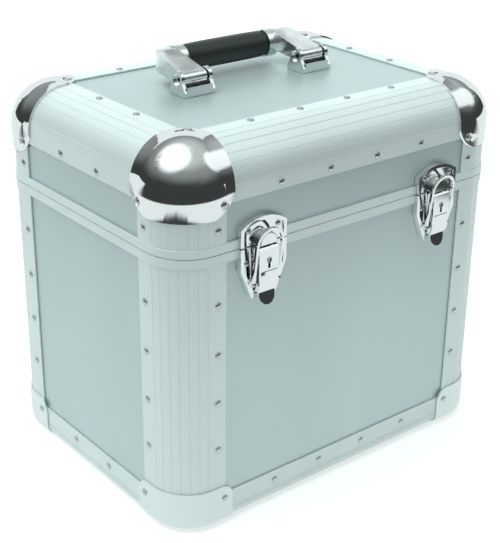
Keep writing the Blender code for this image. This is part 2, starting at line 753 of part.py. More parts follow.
def lever(word, centre_x, pivot):
    """The lever: a channel-shaped cover with a keyhole, a score line, bail studs and a curled tab."""
    across = lambda out, z, x: (centre_x + x, -HALF_D - out, SEAM + z)
    body = prism(lever_side(), -LEVER_HALF_WIDTH, LEVER_HALF_WIDTH, across)
    behind = LEVER_PIVOT_OUT - LEVER_TOP_RADIUS - OVERRUN
    sole = LEVER_WALL - LEVER_BOTTOM
    front = LEVER_FRONT - LEVER_WALL
    inner = LEVER_HALF_WIDTH - LEVER_WALL
    hollow = prism([(behind, OVERRUN), (front, OVERRUN), (front, -LEVER_BREAK),
                    (front - LEVER_CHIN, sole), (behind, sole)], -inner, inner, across)
    score = prism([(-LEVER_SCORE_HALF, -LEVER_GROOVE_DROP), (LEVER_SCORE_HALF, -LEVER_GROOVE_DROP),
                   (LEVER_SCORE_HALF, LEVER_GROOVE_HEIGHT - LEVER_GROOVE_DROP),
                   (-LEVER_SCORE_HALF, LEVER_GROOVE_HEIGHT - LEVER_GROOVE_DROP)],
                  LEVER_FRONT - LEVER_GROOVE_DEPTH, LEVER_FRONT + OVERRUN, latch_place(centre_x))
    cut(body, hollow, keyhole(centre_x), score)
    fuse(body, thumb_tab(centre_x))
    for side in FLANKS.values():
        start = (centre_x + side * (LEVER_HALF_WIDTH - LEVER_WALL / 2), *bail_axis())
        fuse(body, rod(start, (side, 0, 0), BAIL_STUD_RADIUS, BAIL_OUTER - LEVER_HALF_WIDTH + LEVER_WALL))
    hole = rod((centre_x - LEVER_HALF_WIDTH - OVERRUN, *lever_axis()), (1, 0, 0),
               PIVOT_PIN_RADIUS + PIN_CLEARANCE, (LEVER_HALF_WIDTH + OVERRUN) * 2)
    return finish(cut(body, hole), "latch_lever_" + word, CHROME, pivot)


def keyhole(centre_x):
    """Cutter for the keyhole: a round with a slot below it."""
    half = KEYHOLE_SLOT / 2
    dip = math.asin(half / KEYHOLE_RADIUS)
    centre = (0, -KEYHOLE_DROP)
    outline = arc(centre, KEYHOLE_RADIUS, dip - QUARTER, QUARTER * 3 - dip, PIN_SIDES)
    outline += [(-half, -KEYHOLE_DROP - KEYHOLE_LENGTH), (half, -KEYHOLE_DROP - KEYHOLE_LENGTH)]
    return prism(outline, LEVER_FRONT - LEVER_WALL - OVERRUN, LEVER_FRONT + OVERRUN, latch_place(centre_x))


def thumb_tab(centre_x):
    """The tab under the lever: a strip that curls outwards, with a round end."""
    start = LEVER_BOTTOM - LEVER_WALL
    run = TAB_END - start
    face = LEVER_FRONT - LEVER_CHIN - LEVER_WALL
    outer = []
    for i in range(TAB_STEPS + 1):
        share = i / TAB_STEPS
        outer.append((face + TAB_CURL * share ** 2, -start - run * share))
    inner = [(out - TAB_THICKNESS, z) for out, z in reversed(outer)]
    strip = prism(outer + inner, -TAB_HALF_WIDTH, TAB_HALF_WIDTH,
                  lambda out, z, x: (centre_x + x, -HALF_D - out, SEAM + z))
    low = TAB_HALF_WIDTH - TAB_END
    plan = [(TAB_HALF_WIDTH, -LEVER_BREAK), (-TAB_HALF_WIDTH, -LEVER_BREAK)]
    plan += arc((0, low), TAB_HALF_WIDTH, math.pi, WHOLE_TURN)
    return keep_common(strip, prism(plan, 0, LEVER_FRONT + TAB_CURL, latch_place(centre_x)))


def bail_rise():
    """Height of the centre of the bail's arch over its pivot, along the bail."""
    return BAIL_PIVOT_DROP + BAIL_TOP - BAIL_OUTER


def bail_tilt():
    """How far the bail leans outwards, so that its arch passes in front of the catch nose."""
    shoulder = bail_rise() + math.sqrt(BAIL_INNER ** 2 - NOSE_HALF_WIDTH ** 2)
    outwards = NOSE_FACE + FIT + BAIL_THICKNESS / 2 - BAIL_PIVOT_OUT
    return math.asin(outwards / shoulder)


def bail(word, centre_x, pivot):
    """The bail: a flat arch whose legs end in eyes round the lever's studs."""
    tilt = bail_tilt()
    lean, upright = math.sin(tilt), math.cos(tilt)
    y, z = bail_axis()
    place = lambda x, h, d: (centre_x + x, y - h * lean - d * upright, z + h * upright - d * lean)
    rise = bail_rise()
    outline = [(BAIL_OUTER, 0)] + arc((0, rise), BAIL_OUTER, 0, math.pi, BAIL_STEPS)
    outline += [(-BAIL_OUTER, 0), (-BAIL_INNER, 0)]
    outline += arc((0, rise), BAIL_INNER, math.pi, 0, BAIL_STEPS) + [(BAIL_INNER, 0)]
    made = prism(outline, -BAIL_THICKNESS / 2, BAIL_THICKNESS / 2, place)
    for side in FLANKS.values():
        eye = rod((centre_x + side * BAIL_INNER, y, z), (side, 0, 0), BAIL_EYE_RADIUS, BAIL_OUTER - BAIL_INNER)
        fuse(made, eye)
    hole = rod((centre_x - BAIL_OUTER - OVERRUN, y, z), (1, 0, 0), BAIL_STUD_RADIUS + PIN_CLEARANCE,
               (BAIL_OUTER + OVERRUN) * 2)
    return finish(cut(made, hole), "latch_bail_" + word, CHROME, pivot)


def lock_core(word, centre_x, pivot):
    """The lock's turning core behind the keyhole, with the post that a hollow key slides over."""
    face = LEVER_FRONT - LEVER_WALL - FIT
    y = -HALF_D - face
    z = SEAM - KEYHOLE_DROP
    core = rod((centre_x, y + LOCK_DEPTH, z), (0, -1, 0), LOCK_RADIUS, LOCK_DEPTH)
    post = rod((centre_x, y + FIT, z), (0, -1, 0), KEY_POST_RADIUS, LEVER_WALL + FIT)
    return finish(fuse(core, post), "latch_lock_" + word, STEEL, pivot)


def latches(lid_pivot):
    """Both front latches."""
    for word, side in FLANKS.items():
        x = side * (HALF_W - LATCH_INSET)
        lever_pivot = pivot_at(f"lever_axis_{word}", (x, *lever_axis()))
        bail_pivot = pivot_at(f"bail_axis_{word}", (x, *bail_axis()), lever_pivot)
        lock_pivot = pivot_at(f"lock_axis_{word}", (x, -HALF_D, SEAM - KEYHOLE_DROP), lever_pivot)
        catch(word, x, lid_pivot)
        latch_base(word, x)
        lever(word, x, lever_pivot)
        bail(word, x, bail_pivot)
        lock_core(word, x, lock_pivot)


def leaf_outline(way):
    """Section of a hinge leaf, as (outwards, height) from the pin: knuckle, rim bridge, joggle, foot."""
    near = -HINGE_KNUCKLE
    outer = near + HINGE_SHEET
    foot = near - RIM_PROUD - FIT - SHEET
    bend = HINGE_JOGGLE + HINGE_JOGGLE_RUN
    meet = math.acos(-outer / HINGE_KNUCKLE)
    knuckle = arc((0, 0), HINGE_KNUCKLE, math.pi, meet - math.pi, PIN_SIDES)
    outline = knuckle + [(outer, -HINGE_JOGGLE), (foot + HINGE_SHEET, -bend),
                         (foot + HINGE_SHEET, -HINGE_LEAF_HEIGHT), (foot, -HINGE_LEAF_HEIGHT),
                         (foot, -bend), (near, -HINGE_JOGGLE)]
    return [(out, -way * height) for out, height in outline]


def hinge_leaf(centre_x, way, thirds):
    """A leaf with knuckles only over the thirds that are its own."""
    place = lambda out, height, x: (centre_x + x, HINGE_Y + out, SEAM + height)
    leaf = prism(leaf_outline(way), -HINGE_WIDTH / 2, HINGE_WIDTH / 2, place)
    reach = HINGE_KNUCKLE + FIT
    third = HINGE_WIDTH / 3
    window = [(-reach - FIT, -reach), (reach + OVERRUN, -reach), (reach + OVERRUN, reach), (-reach - FIT, reach)]
    for i in range(3):
        if i not in thirds:
            low = third * (i - 1) - third / 2 - HINGE_END_GAP
            high = low + third + HINGE_END_GAP * 2
            cut(leaf, prism(window, low, high, place))
    return leaf


def hinges(lid_pivot):
    """Two three-knuckle hinges at the back; the pin is fixed in the base leaf's knuckles."""
    for word, side in FLANKS.items():
        x = side * (HALF_W - HINGE_INSET)
        start = (x - HINGE_WIDTH / 2, HINGE_Y, SEAM)
        pin = rod(start, (1, 0, 0), HINGE_PIN_RADIUS, HINGE_WIDTH)
        bore = rod(start, (1, 0, 0), HINGE_PIN_RADIUS + PIN_CLEARANCE, HINGE_WIDTH)
        finish(fuse(hinge_leaf(x, -1, (0, 2)), pin), "hinge_base_leaf_" + word, STEEL)
        finish(cut(hinge_leaf(x, 1, (1,)), bore), "hinge_lid_leaf_" + word, STEEL, lid_pivot)


def tangent_outline(near, near_radius, far, far_radius):
    """Outline of two circles joined by their outer tangents."""
    run = math.dist(near, far)
    heading = math.atan2(far[1] - near[1], far[0] - near[0])
    spread_angle = math.acos((near_radius - far_radius) / run)
    front = arc(far, far_radius, heading - spread_angle, heading + spread_angle)
    back = arc(near, near_radius, heading + spread_angle, heading - spread_angle + WHOLE_TURN)
    return front + back


def bracket(word, centre_x, pivot):
    """A handle bracket: base with two lips and two arched, dished ears."""
    low = TOP - SHEET
    high = TOP + BRACKET_BASE
    axis_z = TOP + HANDLE_PIVOT_HEIGHT
    length = BRACKET_HALF_LENGTH
    made = box((centre_x - BRACKET_HALF_WIDTH, -length, low), (centre_x + BRACKET_HALF_WIDTH, length, high))
    inner = BRACKET_HALF_WIDTH - BRACKET_EAR
    swing = math.asin(BRACKET_TOP_RADIUS / math.hypot(length, HANDLE_PIVOT_HEIGHT - BRACKET_BASE))
    lean = math.atan2(HANDLE_PIVOT_HEIGHT - BRACKET_BASE, length)
    start = lean + swing - QUARTER
    ear_outline = [(-length, low + FIT), (length, low + FIT), (length, high)]
    ear_outline += arc((0, axis_z), BRACKET_TOP_RADIUS, start, math.pi - start) + [(-length, high)]
    for way in FLANKS.values():
        side = lambda y, z, x: (centre_x + way * x, y, z)
        fuse(made, prism(ear_outline, inner, BRACKET_HALF_WIDTH, side))
        lip_near = length - BRACKET_LIP_THICKNESS
        lip = [(way * lip_near, high - FIT), (way * length, high - FIT), (way * length, TOP + BRACKET_LIP),
               (way * lip_near, TOP + BRACKET_LIP)]
        fuse(made, prism(lip, -inner - FIT, inner + FIT, lambda y, z, x: (centre_x + x, y, z)))
    for way in FLANKS.values():
        dish = rod((centre_x + way * (BRACKET_HALF_WIDTH - BRACKET_DISH_DEPTH), 0, axis_z), (way, 0, 0),
                   BRACKET_DISH_RADIUS, BRACKET_DISH_DEPTH + OVERRUN, FOOT_SIDES)
        cut(made, dish)
    hole = rod((centre_x - BRACKET_HALF_WIDTH - OVERRUN, 0, axis_z), (1, 0, 0),
               HANDLE_PIN_RADIUS + PIN_CLEARANCE, (BRACKET_HALF_WIDTH + OVERRUN) * 2)
    return finish(cut(made, hole), "handle_bracket_" + word, CHROME, pivot)


def handle_arm(word, side, pivot):
    """A cast arm: knuckle, tapered strap with a rounded outer corner, and the ring for the grip."""
    centre_x = side * BRACKET_SPACING / 2
    axis_z = TOP + HANDLE_PIVOT_HEIGHT
    far = (ARM_REACH, axis_z + ARM_RISE)
    outline = tangent_outline((0, axis_z), ARM_KNUCKLE_RADIUS, far, ARM_END_RADIUS)
    arm = prism(outline, -ARM_HALF_WIDTH, ARM_HALF_WIDTH, lambda y, z, x: (centre_x + x, y, z))
    end = ARM_REACH + ARM_END_RADIUS
    inside = (ARM_HALF_WIDTH - ARM_CORNER_RADIUS, end - ARM_CORNER_RADIUS)
    corner = [(ARM_HALF_WIDTH + OVERRUN, inside[1])] + arc(inside, ARM_CORNER_RADIUS, 0, QUARTER)
    corner += [(inside[0], end + OVERRUN), (ARM_HALF_WIDTH + OVERRUN, end + OVERRUN)]
    cut(arm, prism(corner, TOP, axis_z + ARM_REACH, lambda x, y, z: (centre_x + side * x, y, z)))
    start = side * (BRACKET_SPACING / 2 - ARM_HALF_WIDTH + OVERRUN)
    grip_z = axis_z + GRIP_RISE
    fuse(arm, rod((start, GRIP_REACH, grip_z), (-side, 0, 0), RING_RADIUS, RING_WIDTH + OVERRUN, GRIP_SIDES))
    hole = rod((centre_x - ARM_HALF_WIDTH - OVERRUN, 0, axis_z), (1, 0, 0),
               HANDLE_PIN_RADIUS + PIN_CLEARANCE, (ARM_HALF_WIDTH + OVERRUN) * 2)
    return finish(cut(arm, hole), "handle_arm_" + word, CHROME, pivot)


def handle(lid_pivot):
    """The swing handle: brackets and pins on the lid, arms and grip on the handle's axis."""
    axis_z = TOP + HANDLE_PIVOT_HEIGHT
    pivot = pivot_at("handle_axis", (0, 0, axis_z), lid_pivot)
    half_pin = BRACKET_HALF_WIDTH - BRACKET_DISH_DEPTH
    for word, side in FLANKS.items():
        x = side * BRACKET_SPACING / 2
        bracket(word, x, lid_pivot)
        handle_arm(word, side, pivot)
        pin = rod((x - half_pin, 0, axis_z), (1, 0, 0), HANDLE_PIN_RADIUS, half_pin * 2)
        finish(pin, "handle_pin_" + word, STEEL, lid_pivot)
    half = BRACKET_SPACING / 2 - ARM_HALF_WIDTH - RING_WIDTH - FIT
    place = lambda a, b, x: (x, GRIP_REACH + a, axis_z + GRIP_RISE + b)
    bm = bmesh.new()
    stations = [(-half, GRIP_RADIUS - GRIP_EDGE), (GRIP_EDGE - half, GRIP_RADIUS),
                (half - GRIP_EDGE, GRIP_RADIUS), (half, GRIP_RADIUS - GRIP_EDGE)]
    loops = [[bm.verts.new(place(a, b, x)) for a, b in disc(wide, GRIP_SIDES)] for x, wide in stations]
    bm.faces.new(loops[0])
    bm.faces.new(loops[-1])
    for lower, upper in zip(loops, loops[1:]):
        for i in range(GRIP_SIDES):
            j = (i + 1) % GRIP_SIDES
            bm.faces.new((lower[i], lower[j], upper[j], upper[i]))
    finish(mesh_object("grip", bm), "handle_grip", RUBBER, pivot)


def centre_over_origin():
    """Move the case along Y until its bounding box stands over the origin."""
    bpy.context.view_layer.update()
    reach = [(made.matrix_world @ Vector(corner)).y for made in bpy.data.objects if made.type == "MESH"
             for corner in made.bound_box]
    for made in bpy.data.objects:
        if made.parent is None:
            made.location.y -= (min(reach) + max(reach)) / 2


def build():
    """Clear the scene and make the whole case."""
    for old in list(bpy.data.objects):
        bpy.data.objects.remove(old)
    lid_pivot = pivot_at("lid_axis", (0, HINGE_Y, SEAM))
    base_body()
    lid_body(lid_pivot)
    corner_pieces(lid_pivot)
    latches(lid_pivot)
    hinges(lid_pivot)
    handle(lid_pivot)
    centre_over_origin()


build()
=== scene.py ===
"""Looks of the record carrying case: finer shells in place of the solids, rivets, screws,
linings, materials, a pale floor, a soft studio and the camera."""
import json
import math

import bmesh
import bpy
from mathutils import Matrix, Vector


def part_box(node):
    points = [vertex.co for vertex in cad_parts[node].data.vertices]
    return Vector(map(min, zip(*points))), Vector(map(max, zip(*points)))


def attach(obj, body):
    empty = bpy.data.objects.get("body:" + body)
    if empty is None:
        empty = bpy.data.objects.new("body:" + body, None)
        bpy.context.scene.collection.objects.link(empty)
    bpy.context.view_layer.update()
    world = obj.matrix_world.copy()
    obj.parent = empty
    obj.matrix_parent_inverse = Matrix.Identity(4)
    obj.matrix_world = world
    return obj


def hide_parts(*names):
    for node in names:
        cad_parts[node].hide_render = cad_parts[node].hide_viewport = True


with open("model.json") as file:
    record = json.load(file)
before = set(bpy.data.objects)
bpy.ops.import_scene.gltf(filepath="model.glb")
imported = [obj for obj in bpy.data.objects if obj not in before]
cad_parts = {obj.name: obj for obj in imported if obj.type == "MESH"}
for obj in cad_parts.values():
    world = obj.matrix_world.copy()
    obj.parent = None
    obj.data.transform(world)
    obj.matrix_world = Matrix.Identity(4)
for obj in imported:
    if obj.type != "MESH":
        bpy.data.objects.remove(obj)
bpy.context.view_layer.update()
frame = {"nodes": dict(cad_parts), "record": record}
nodes = frame["nodes"]
body_of = {node: body for body, members in frame["record"]["behaviour"]["bodies"].items() for node in members}
slot_of = {part["node"]: part["material_slot"] for part in frame["record"]["subparts"]}

# Places that follow from the frame
front_low, front_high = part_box("lid_edge_front")
back_low, back_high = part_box("lid_edge_back")
HALF_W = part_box("lid_edge_right")[1][0]
HALF_D = (back_high[1] - front_low[1]) / 2
MIDDLE_Y = (back_high[1] + front_low[1]) / 2
TOP = front_high[2]
MIDDLE = Vector((0, MIDDLE_Y, 0))
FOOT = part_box("bottom_profile_front")[0][2]
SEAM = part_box("lid_rim_and_posts")[0][2] - 0.0003

# Sizes of the looks, in metres
GAP = 0.0003
RIVET_RADIUS = 0.0031
RIVET_HEIGHT = 0.0014
RIVET_SIDES = 16
POST_RIVET_INSET = 0.0429
POST_RIVET_TOP = 0.2155
POST_RIVET_PITCH = 0.0461
POST_RIVETS = 4
LID_POST_RIVET = 0.2815
LID_RIVET_INSET = 0.0415
EDGE_PITCH_X = 0.0541
EDGE_PITCH_Y = 0.0572
BOTTOM_RIVET = 0.0199
CAP_RIVET_INSET = 0.0490
CAP_RIVET_HEIGHT = 0.0255
CAP_THICKNESS = 0.0018
CAP_REACH = 0.058
CAP_HEIGHT = 0.038
CAP_LOBE_RADIUS = 0.012
OVERRUN = 0.002
SHEET = 0.0015
LIP_OUT = 0.0081
LIP_IN = 0.0096
INNER_LIP = 0.006
POST_LEG = 0.0513
LID_LEG = 0.0478
EDGE_END = 0.052
GROOVE_COUNT = 7
GROOVE_PITCH = 0.0082
GROOVE_WIDTH = 0.0011
GROOVE_DEPTH = 0.00045
BOTTOM_LEG = 0.0292
BOTTOM_RADIUS = 0.009
BOTTOM_GROOVES = (0.0100, 0.0125)
BOTTOM_GROOVE_WIDTH = 0.001
BOTTOM_GROOVE_DEPTH = 0.0005
SEAM_GAP = 0.0006
LID_RIM_HEIGHT = 0.0074
BASE_RIM_HEIGHT = 0.0083
RIM_PROUD = 0.001
RIM_WEB = 0.0045
TONGUE_DEPTH = 0.0035
TONGUE_WIDTH = 0.002
TONGUE_HEIGHT = 0.0025
TONGUE_CLEARANCE = 0.0003
SCREW_RADIUS = 0.0026
SCREW_HEIGHT = 0.0013
SCREW_SIDES = 24
LATCH_PLATE = 0.0026
CATCH_SCREW_ASIDE = 0.0155
CATCH_SCREW_UP = 0.0138
BASE_SCREW_ASIDE = 0.0176
BASE_SCREW_DOWN = 0.0145
HINGE_SCREW_PITCH = 0.016
HINGE_SCREW_OFF = 0.0245
LINING_WALL = 0.0025
EDGE_RADIUS = 0.038
BALL_CENTRE = 0.0405
BALL_RADIUS = 0.0436
BALL_SKIRT = 0.0018
BALL_REACH = 0.0585
BALL_TRIM_CENTRE = 0.028
BALL_TRIM_RADIUS = 0.0440
BALL_SEAT_INSET = 0.0475
BALL_SEAT_LEVEL = 0.0013
BALL_SEAT_RADIUS = 0.0044
HANDLE_AXIS_UP = 0.0125
AXIS_Z = TOP + HANDLE_AXIS_UP
ARM_CENTRE = 0.0685
ARM_HALF_WIDTH = 0.0122
ARM_REACH = 0.0450
ARM_RISE = 0.0075
ARM_KNUCKLE = 0.0056
ARM_END = 0.0088
ARM_CORNER = 0.0215
GRIP_REACH = 0.0460
GRIP_RISE = 0.0040
GRIP_RADIUS = 0.0127
RING_RADIUS = 0.0134
GRIP_HALF = 0.0470
BRACKET_HALF_WIDTH = 0.0170
BRACKET_HALF_LENGTH = 0.0117
BRACKET_BASE = 0.0025
BRACKET_EAR = 0.0036
BRACKET_TOP = 0.0076
BRACKET_DISH = 0.0058
BRACKET_DISH_DEPTH = 0.0022
BRACKET_LIP = 0.0072
BRACKET_LIP_THICKNESS = 0.0020
HANDLE_PIN = 0.0024
ARM_BORE = 0.0028
CORNERS = {"front_left": (-1, -1), "front_right": (1, -1), "back_left": (-1, 1), "back_right": (1, 1)}
FLANKS = {"left": -1, "right": 1}


# Materials

def node_material(name, colour, metallic, roughness):
    """A Principled material and its node tree's handy parts."""
    made = bpy.data.materials.new(name)
    made.use_nodes = True
    tree = made.node_tree
    shader = tree.nodes["Principled BSDF"]
    shader.inputs["Base Color"].default_value = (*colour, 1.0)
    shader.inputs["Metallic"].default_value = metallic
    shader.inputs["Roughness"].default_value = roughness
    return made, tree, shader


def noise(tree, scale, detail, stretch=(1, 1, 1)):
    """Noise over the object's own coordinates, stretched per axis."""
    place = tree.nodes.new("ShaderNodeTexCoord")
    mapping = tree.nodes.new("ShaderNodeMapping")
    mapping.inputs["Scale"].default_value = stretch
    made = tree.nodes.new("ShaderNodeTexNoise")
    made.inputs["Scale"].default_value = scale
    made.inputs["Detail"].default_value = detail
    tree.links.new(place.outputs["Object"], mapping.inputs["Vector"])
    tree.links.new(mapping.outputs["Vector"], made.inputs["Vector"])
    return made


def spread_to(tree, source, low, high, target):
    """Send a noise to a socket, as a value between low and high."""
    made = tree.nodes.new("ShaderNodeMapRange")
    made.inputs["From Min"].default_value = 0.3
    made.inputs["From Max"].default_value = 0.7
    made.inputs["To Min"].default_value = low
    made.inputs["To Max"].default_value = high
    tree.links.new(source.outputs["Fac"], made.inputs["Value"])
    tree.links.new(made.outputs["Result"], target)


def tinted(tree, source, dark, light, target):
    """Send a noise to a colour socket, as a mix of two colours."""
    ramp = tree.nodes.new("ShaderNodeValToRGB")
    ramp.color_ramp.elements[0].position = 0.3
    ramp.color_ramp.elements[1].position = 0.7
    ramp.color_ramp.elements[0].color = (*dark, 1.0)
    ramp.color_ramp.elements[1].color = (*light, 1.0)
    tree.links.new(source.outputs["Fac"], ramp.inputs["Fac"])
    tree.links.new(ramp.outputs["Color"], target)


def bumped(tree, shader, source, strength, distance):
    """Send a noise to the shader's normal."""
    bump = tree.nodes.new("ShaderNodeBump")
    bump.inputs["Strength"].default_value = strength
    bump.inputs["Distance"].default_value = distance
    tree.links.new(source.outputs["Fac"], bump.inputs["Height"])
    tree.links.new(bump.outputs["Normal"], shader.inputs["Normal"])


def scaled(colour, share):
    """A colour made darker or lighter."""
    return tuple(part * share for part in colour)


def satin(name, colour, roughness, metallic, stretch, grain=900):
    """Satin aluminium: soft cloudy streaks, a fine drawn grain and uneven gloss."""
    made, tree, shader = node_material(name, colour, metallic, roughness)
    cloud = noise(tree, 7, 3, stretch)
    drawn = noise(tree, grain, 2, stretch)
    tinted(tree, cloud, scaled(colour, 0.965), scaled(colour, 1.03), shader.inputs["Base Color"])
    spread_to(tree, drawn, roughness - 0.04, roughness + 0.05, shader.inputs["Roughness"])
    bumped(tree, shader, drawn, 0.05, 0.0002)
    return made


def polished(name, colour, roughness):
    """Polished chrome with faint wipe marks and a slight waviness."""
    made, tree, shader = node_material(name, colour, 1.0, roughness)
    marks = noise(tree, 60, 5, (1, 1, 3))
    wave = noise(tree, 25, 1)
    tinted(tree, marks, scaled(colour, 0.98), colour, shader.inputs["Base Color"])
    spread_to(tree, marks, roughness * 0.6, roughness * 1.7, shader.inputs["Roughness"])
    bumped(tree, shader, wave, 0.04, 0.0004)
    return made


def dull(name, colour, roughness, scale, strength, distance, sheen=0.0):
    """Rubber, plastic or foam: a fine grained surface."""
    made, tree, shader = node_material(name, colour, 0.0, roughness)
    grain = noise(tree, scale, 4)
    tinted(tree, grain, scaled(colour, 0.8), scaled(colour, 1.25), shader.inputs["Base Color"])
    spread_to(tree, grain, roughness - 0.06, roughness + 0.06, shader.inputs["Roughness"])
    shader.inputs["Sheen Weight"].default_value = sheen
    bumped(tree, shader, grain, strength, distance)
    return made


PANEL = (0.63, 0.745, 0.74)
PROFILE = (0.86, 0.96, 0.94)
CAP = (0.88, 0.97, 0.95)
CHROME = (0.84, 0.86, 0.86)
CAST = (0.93, 0.96, 0.96)
STEEL = (0.62, 0.64, 0.65)
looks = {
    "panel_aluminium": satin("panel_aluminium", PANEL, 0.42, 0.6, (1, 1, 0.2)),
    "profile_aluminium": satin("profile_aluminium", PROFILE, 0.45, 0.35, (1, 1, 0.15)),
    "cap_aluminium": satin("cap_aluminium", CAP, 0.34, 0.55, (1, 1, 1)),
    "chrome": polished("chrome", CHROME, 0.05),
    "cast_chrome": polished("cast_chrome", CAST, 0.2),
    "steel": satin("steel", STEEL, 0.28, 1.0, (1, 1, 1), 1500),
    "rubber": dull("rubber", (0.02, 0.021, 0.021), 0.62, 700, 0.25, 0.0004),
    "grip_plastic": dull("grip_plastic", (0.022, 0.028, 0.027), 0.42, 1400, 0.2, 0.0002),
    "foam": dull("foam", (0.028, 0.029, 0.032), 0.9, 1100, 0.5, 0.0006, 0.3),
}
for name, node in nodes.items():
    node.data.materials.clear()
    node.data.materials.append(looks[slot_of[name]])


# Mesh helpers

def linked(name, bm):
    """A new mesh object from a bmesh."""
    mesh = bpy.data.meshes.new(name)
    bm.to_mesh(mesh)
    bm.free()
    made = bpy.data.objects.new(name, mesh)
    bpy.context.scene.collection.objects.link(made)
    return made


def outwards(bm):
    """Turn the faces of one solid outwards."""
    bmesh.ops.recalc_face_normals(bm, faces=bm.faces[:])
    if bm.calc_volume(signed=True) < 0:
        bmesh.ops.reverse_faces(bm, faces=bm.faces[:])


def placed(made, look, body, cad=()):
    """Give a piece its material and body, and hide the nodes it stands for."""
    made.data.materials.clear()
    made.data.materials.append(looks[look])
    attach(made, body)
    if cad:
        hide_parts(*cad)
    return made


def smoothed(made, degrees):
    """Shade smooth, with edges sharper than an angle kept."""
    made.data.shade_smooth()
    made.data.set_sharp_from_angle(angle=math.radians(degrees))
    return made


def bevelled(made, width, degrees, segments=2):
    """Round the edges that are sharper than an angle."""
    step = made.modifiers.new("edges", "BEVEL")
    step.width = width
    step.segments = segments
    step.limit_method = "ANGLE"
    step.angle_limit = math.radians(degrees)
    step.harden_normals = True
    return made


def refined(node, width, degrees=40, smooth=30):
    """A copy of a node with rounded edges and smooth rounds, shown in its place."""
    bm = bmesh.new()
    bm.from_mesh(nodes[node].data)
    bmesh.ops.remove_doubles(bm, verts=bm.verts[:], dist=0.00001)
    bmesh.ops.dissolve_limit(bm, angle_limit=math.radians(0.5), verts=bm.verts[:], edges=bm.edges[:])
    outwards(bm)
    made = linked(node + "_shell", bm)
    bevelled(smoothed(made, smooth), width, degrees)
    return placed(made, slot_of[node], body_of[node], [node])


def arc(centre, radius, start, end, steps):
    """Points of an arc, both ends included."""
    turn = (end - start) / steps
    return [(centre[0] + radius * math.cos(start + i * turn),
             centre[1] + radius * math.sin(start + i * turn)) for i in range(steps + 1)]


def revolved(bm, profile, place, axis, sides):
    """Add a turned solid: (radius, height) pairs from the foot to the tip."""
    turn = Vector((0, 0, 1)).rotation_difference(Vector(axis)).to_matrix()
    origin = Vector(place)
    loops = []
    for radius, height in profile:
        ring = []
        for i in range(sides):
            angle = 2 * math.pi * i / sides
            ring.append(bm.verts.new(origin + turn @ Vector((radius * math.cos(angle),
                                                             radius * math.sin(angle), height))))
        loops.append(ring)
    for lower, upper in zip(loops, loops[1:]):
        for i in range(sides):
            j = (i + 1) % sides
            bm.faces.new((lower[i], lower[j], upper[j], upper[i]))
    bm.faces.new(list(reversed(loops[0])))
    bm.faces.new(loops[-1])


def combine(made, tool, operation):
    """Apply a Boolean and remove the tool."""
    step = made.modifiers.new(operation, "BOOLEAN")
    step.operation = operation
    step.object = tool
    graph = bpy.context.evaluated_depsgraph_get()
    mesh = bpy.data.meshes.new_from_object(made.evaluated_get(graph))
    made.modifiers.clear()
    made.data = mesh
    bpy.data.objects.remove(tool)
    return made


def block(low, high, name="block"):
    """A box between two corners."""
    bm = bmesh.new()
    bmesh.ops.create_cube(bm, size=1)
    for vert in bm.verts:
        vert.co = Vector([high[i] if vert.co[i] > 0 else low[i] for i in range(3)])
    outwards(bm)
    return linked(name, bm)


# Rivets

def rivet_profile(radius, height):
    """A low dome with a small foot."""
    crown = height * 0.82
    points = [(radius, 0), (radius, height - crown)]
    for i in range(1, 6):
        angle = i / 6 * math.pi / 2
        points.append((radius * math.cos(angle), height - crown + crown * math.sin(angle)))
    return points


def heads(name, body, places, radius, height, sides):
    """Many domed heads in one piece, at places about the case's middle."""
    bm = bmesh.new()
    for place, axis in places:
        revolved(bm, rivet_profile(radius, height), Vector(place) + MIDDLE, axis, sides)
    return placed(smoothed(linked(name, bm), 50), "steel", body)


def row(count, pitch):
    """Places of a centred row."""
    return [(i - (count - 1) / 2) * pitch for i in range(count)]


def flange_pair(side_x, side_y, z):
    """One rivet on each flange of an upright profile."""
    return [((side_x * (HALF_W - POST_RIVET_INSET), side_y * (HALF_D + GAP / 3), z), (0, side_y, 0)),
            ((side_x * (HALF_W + GAP / 3), side_y * (HALF_D - POST_RIVET_INSET), z), (side_x, 0, 0))]


base_places = []
lid_places = []
ball_places = []
cap_places = []
for side_x, side_y in CORNERS.values():
    for i in range(POST_RIVETS):
        base_places += flange_pair(side_x, side_y, FOOT + POST_RIVET_TOP - i * POST_RIVET_PITCH)
    lid_places += flange_pair(side_x, side_y, FOOT + LID_POST_RIVET)
    corner = (side_x * HALF_W, side_y * HALF_D, TOP)
    inset = BALL_SEAT_INSET
    level = BALL_SEAT_LEVEL + GAP / 3
    ball_places += [((corner[0] - side_x * inset, corner[1] - side_y * inset, TOP + level), (0, 0, 1)),
                    ((corner[0] - side_x * inset, corner[1] + side_y * level, TOP - inset), (0, side_y, 0)),
                    ((corner[0] + side_x * level, corner[1] - side_y * inset, TOP - inset), (side_x, 0, 0))]
    level = CAP_THICKNESS + GAP / 3
    inset = CAP_RIVET_INSET
    z = FOOT + CAP_RIVET_HEIGHT
    cap_places += [((corner[0] - side_x * inset, corner[1] + side_y * level, z), (0, side_y, 0)),
                   ((corner[0] + side_x * level, corner[1] - side_y * inset, z), (side_x, 0, 0))]
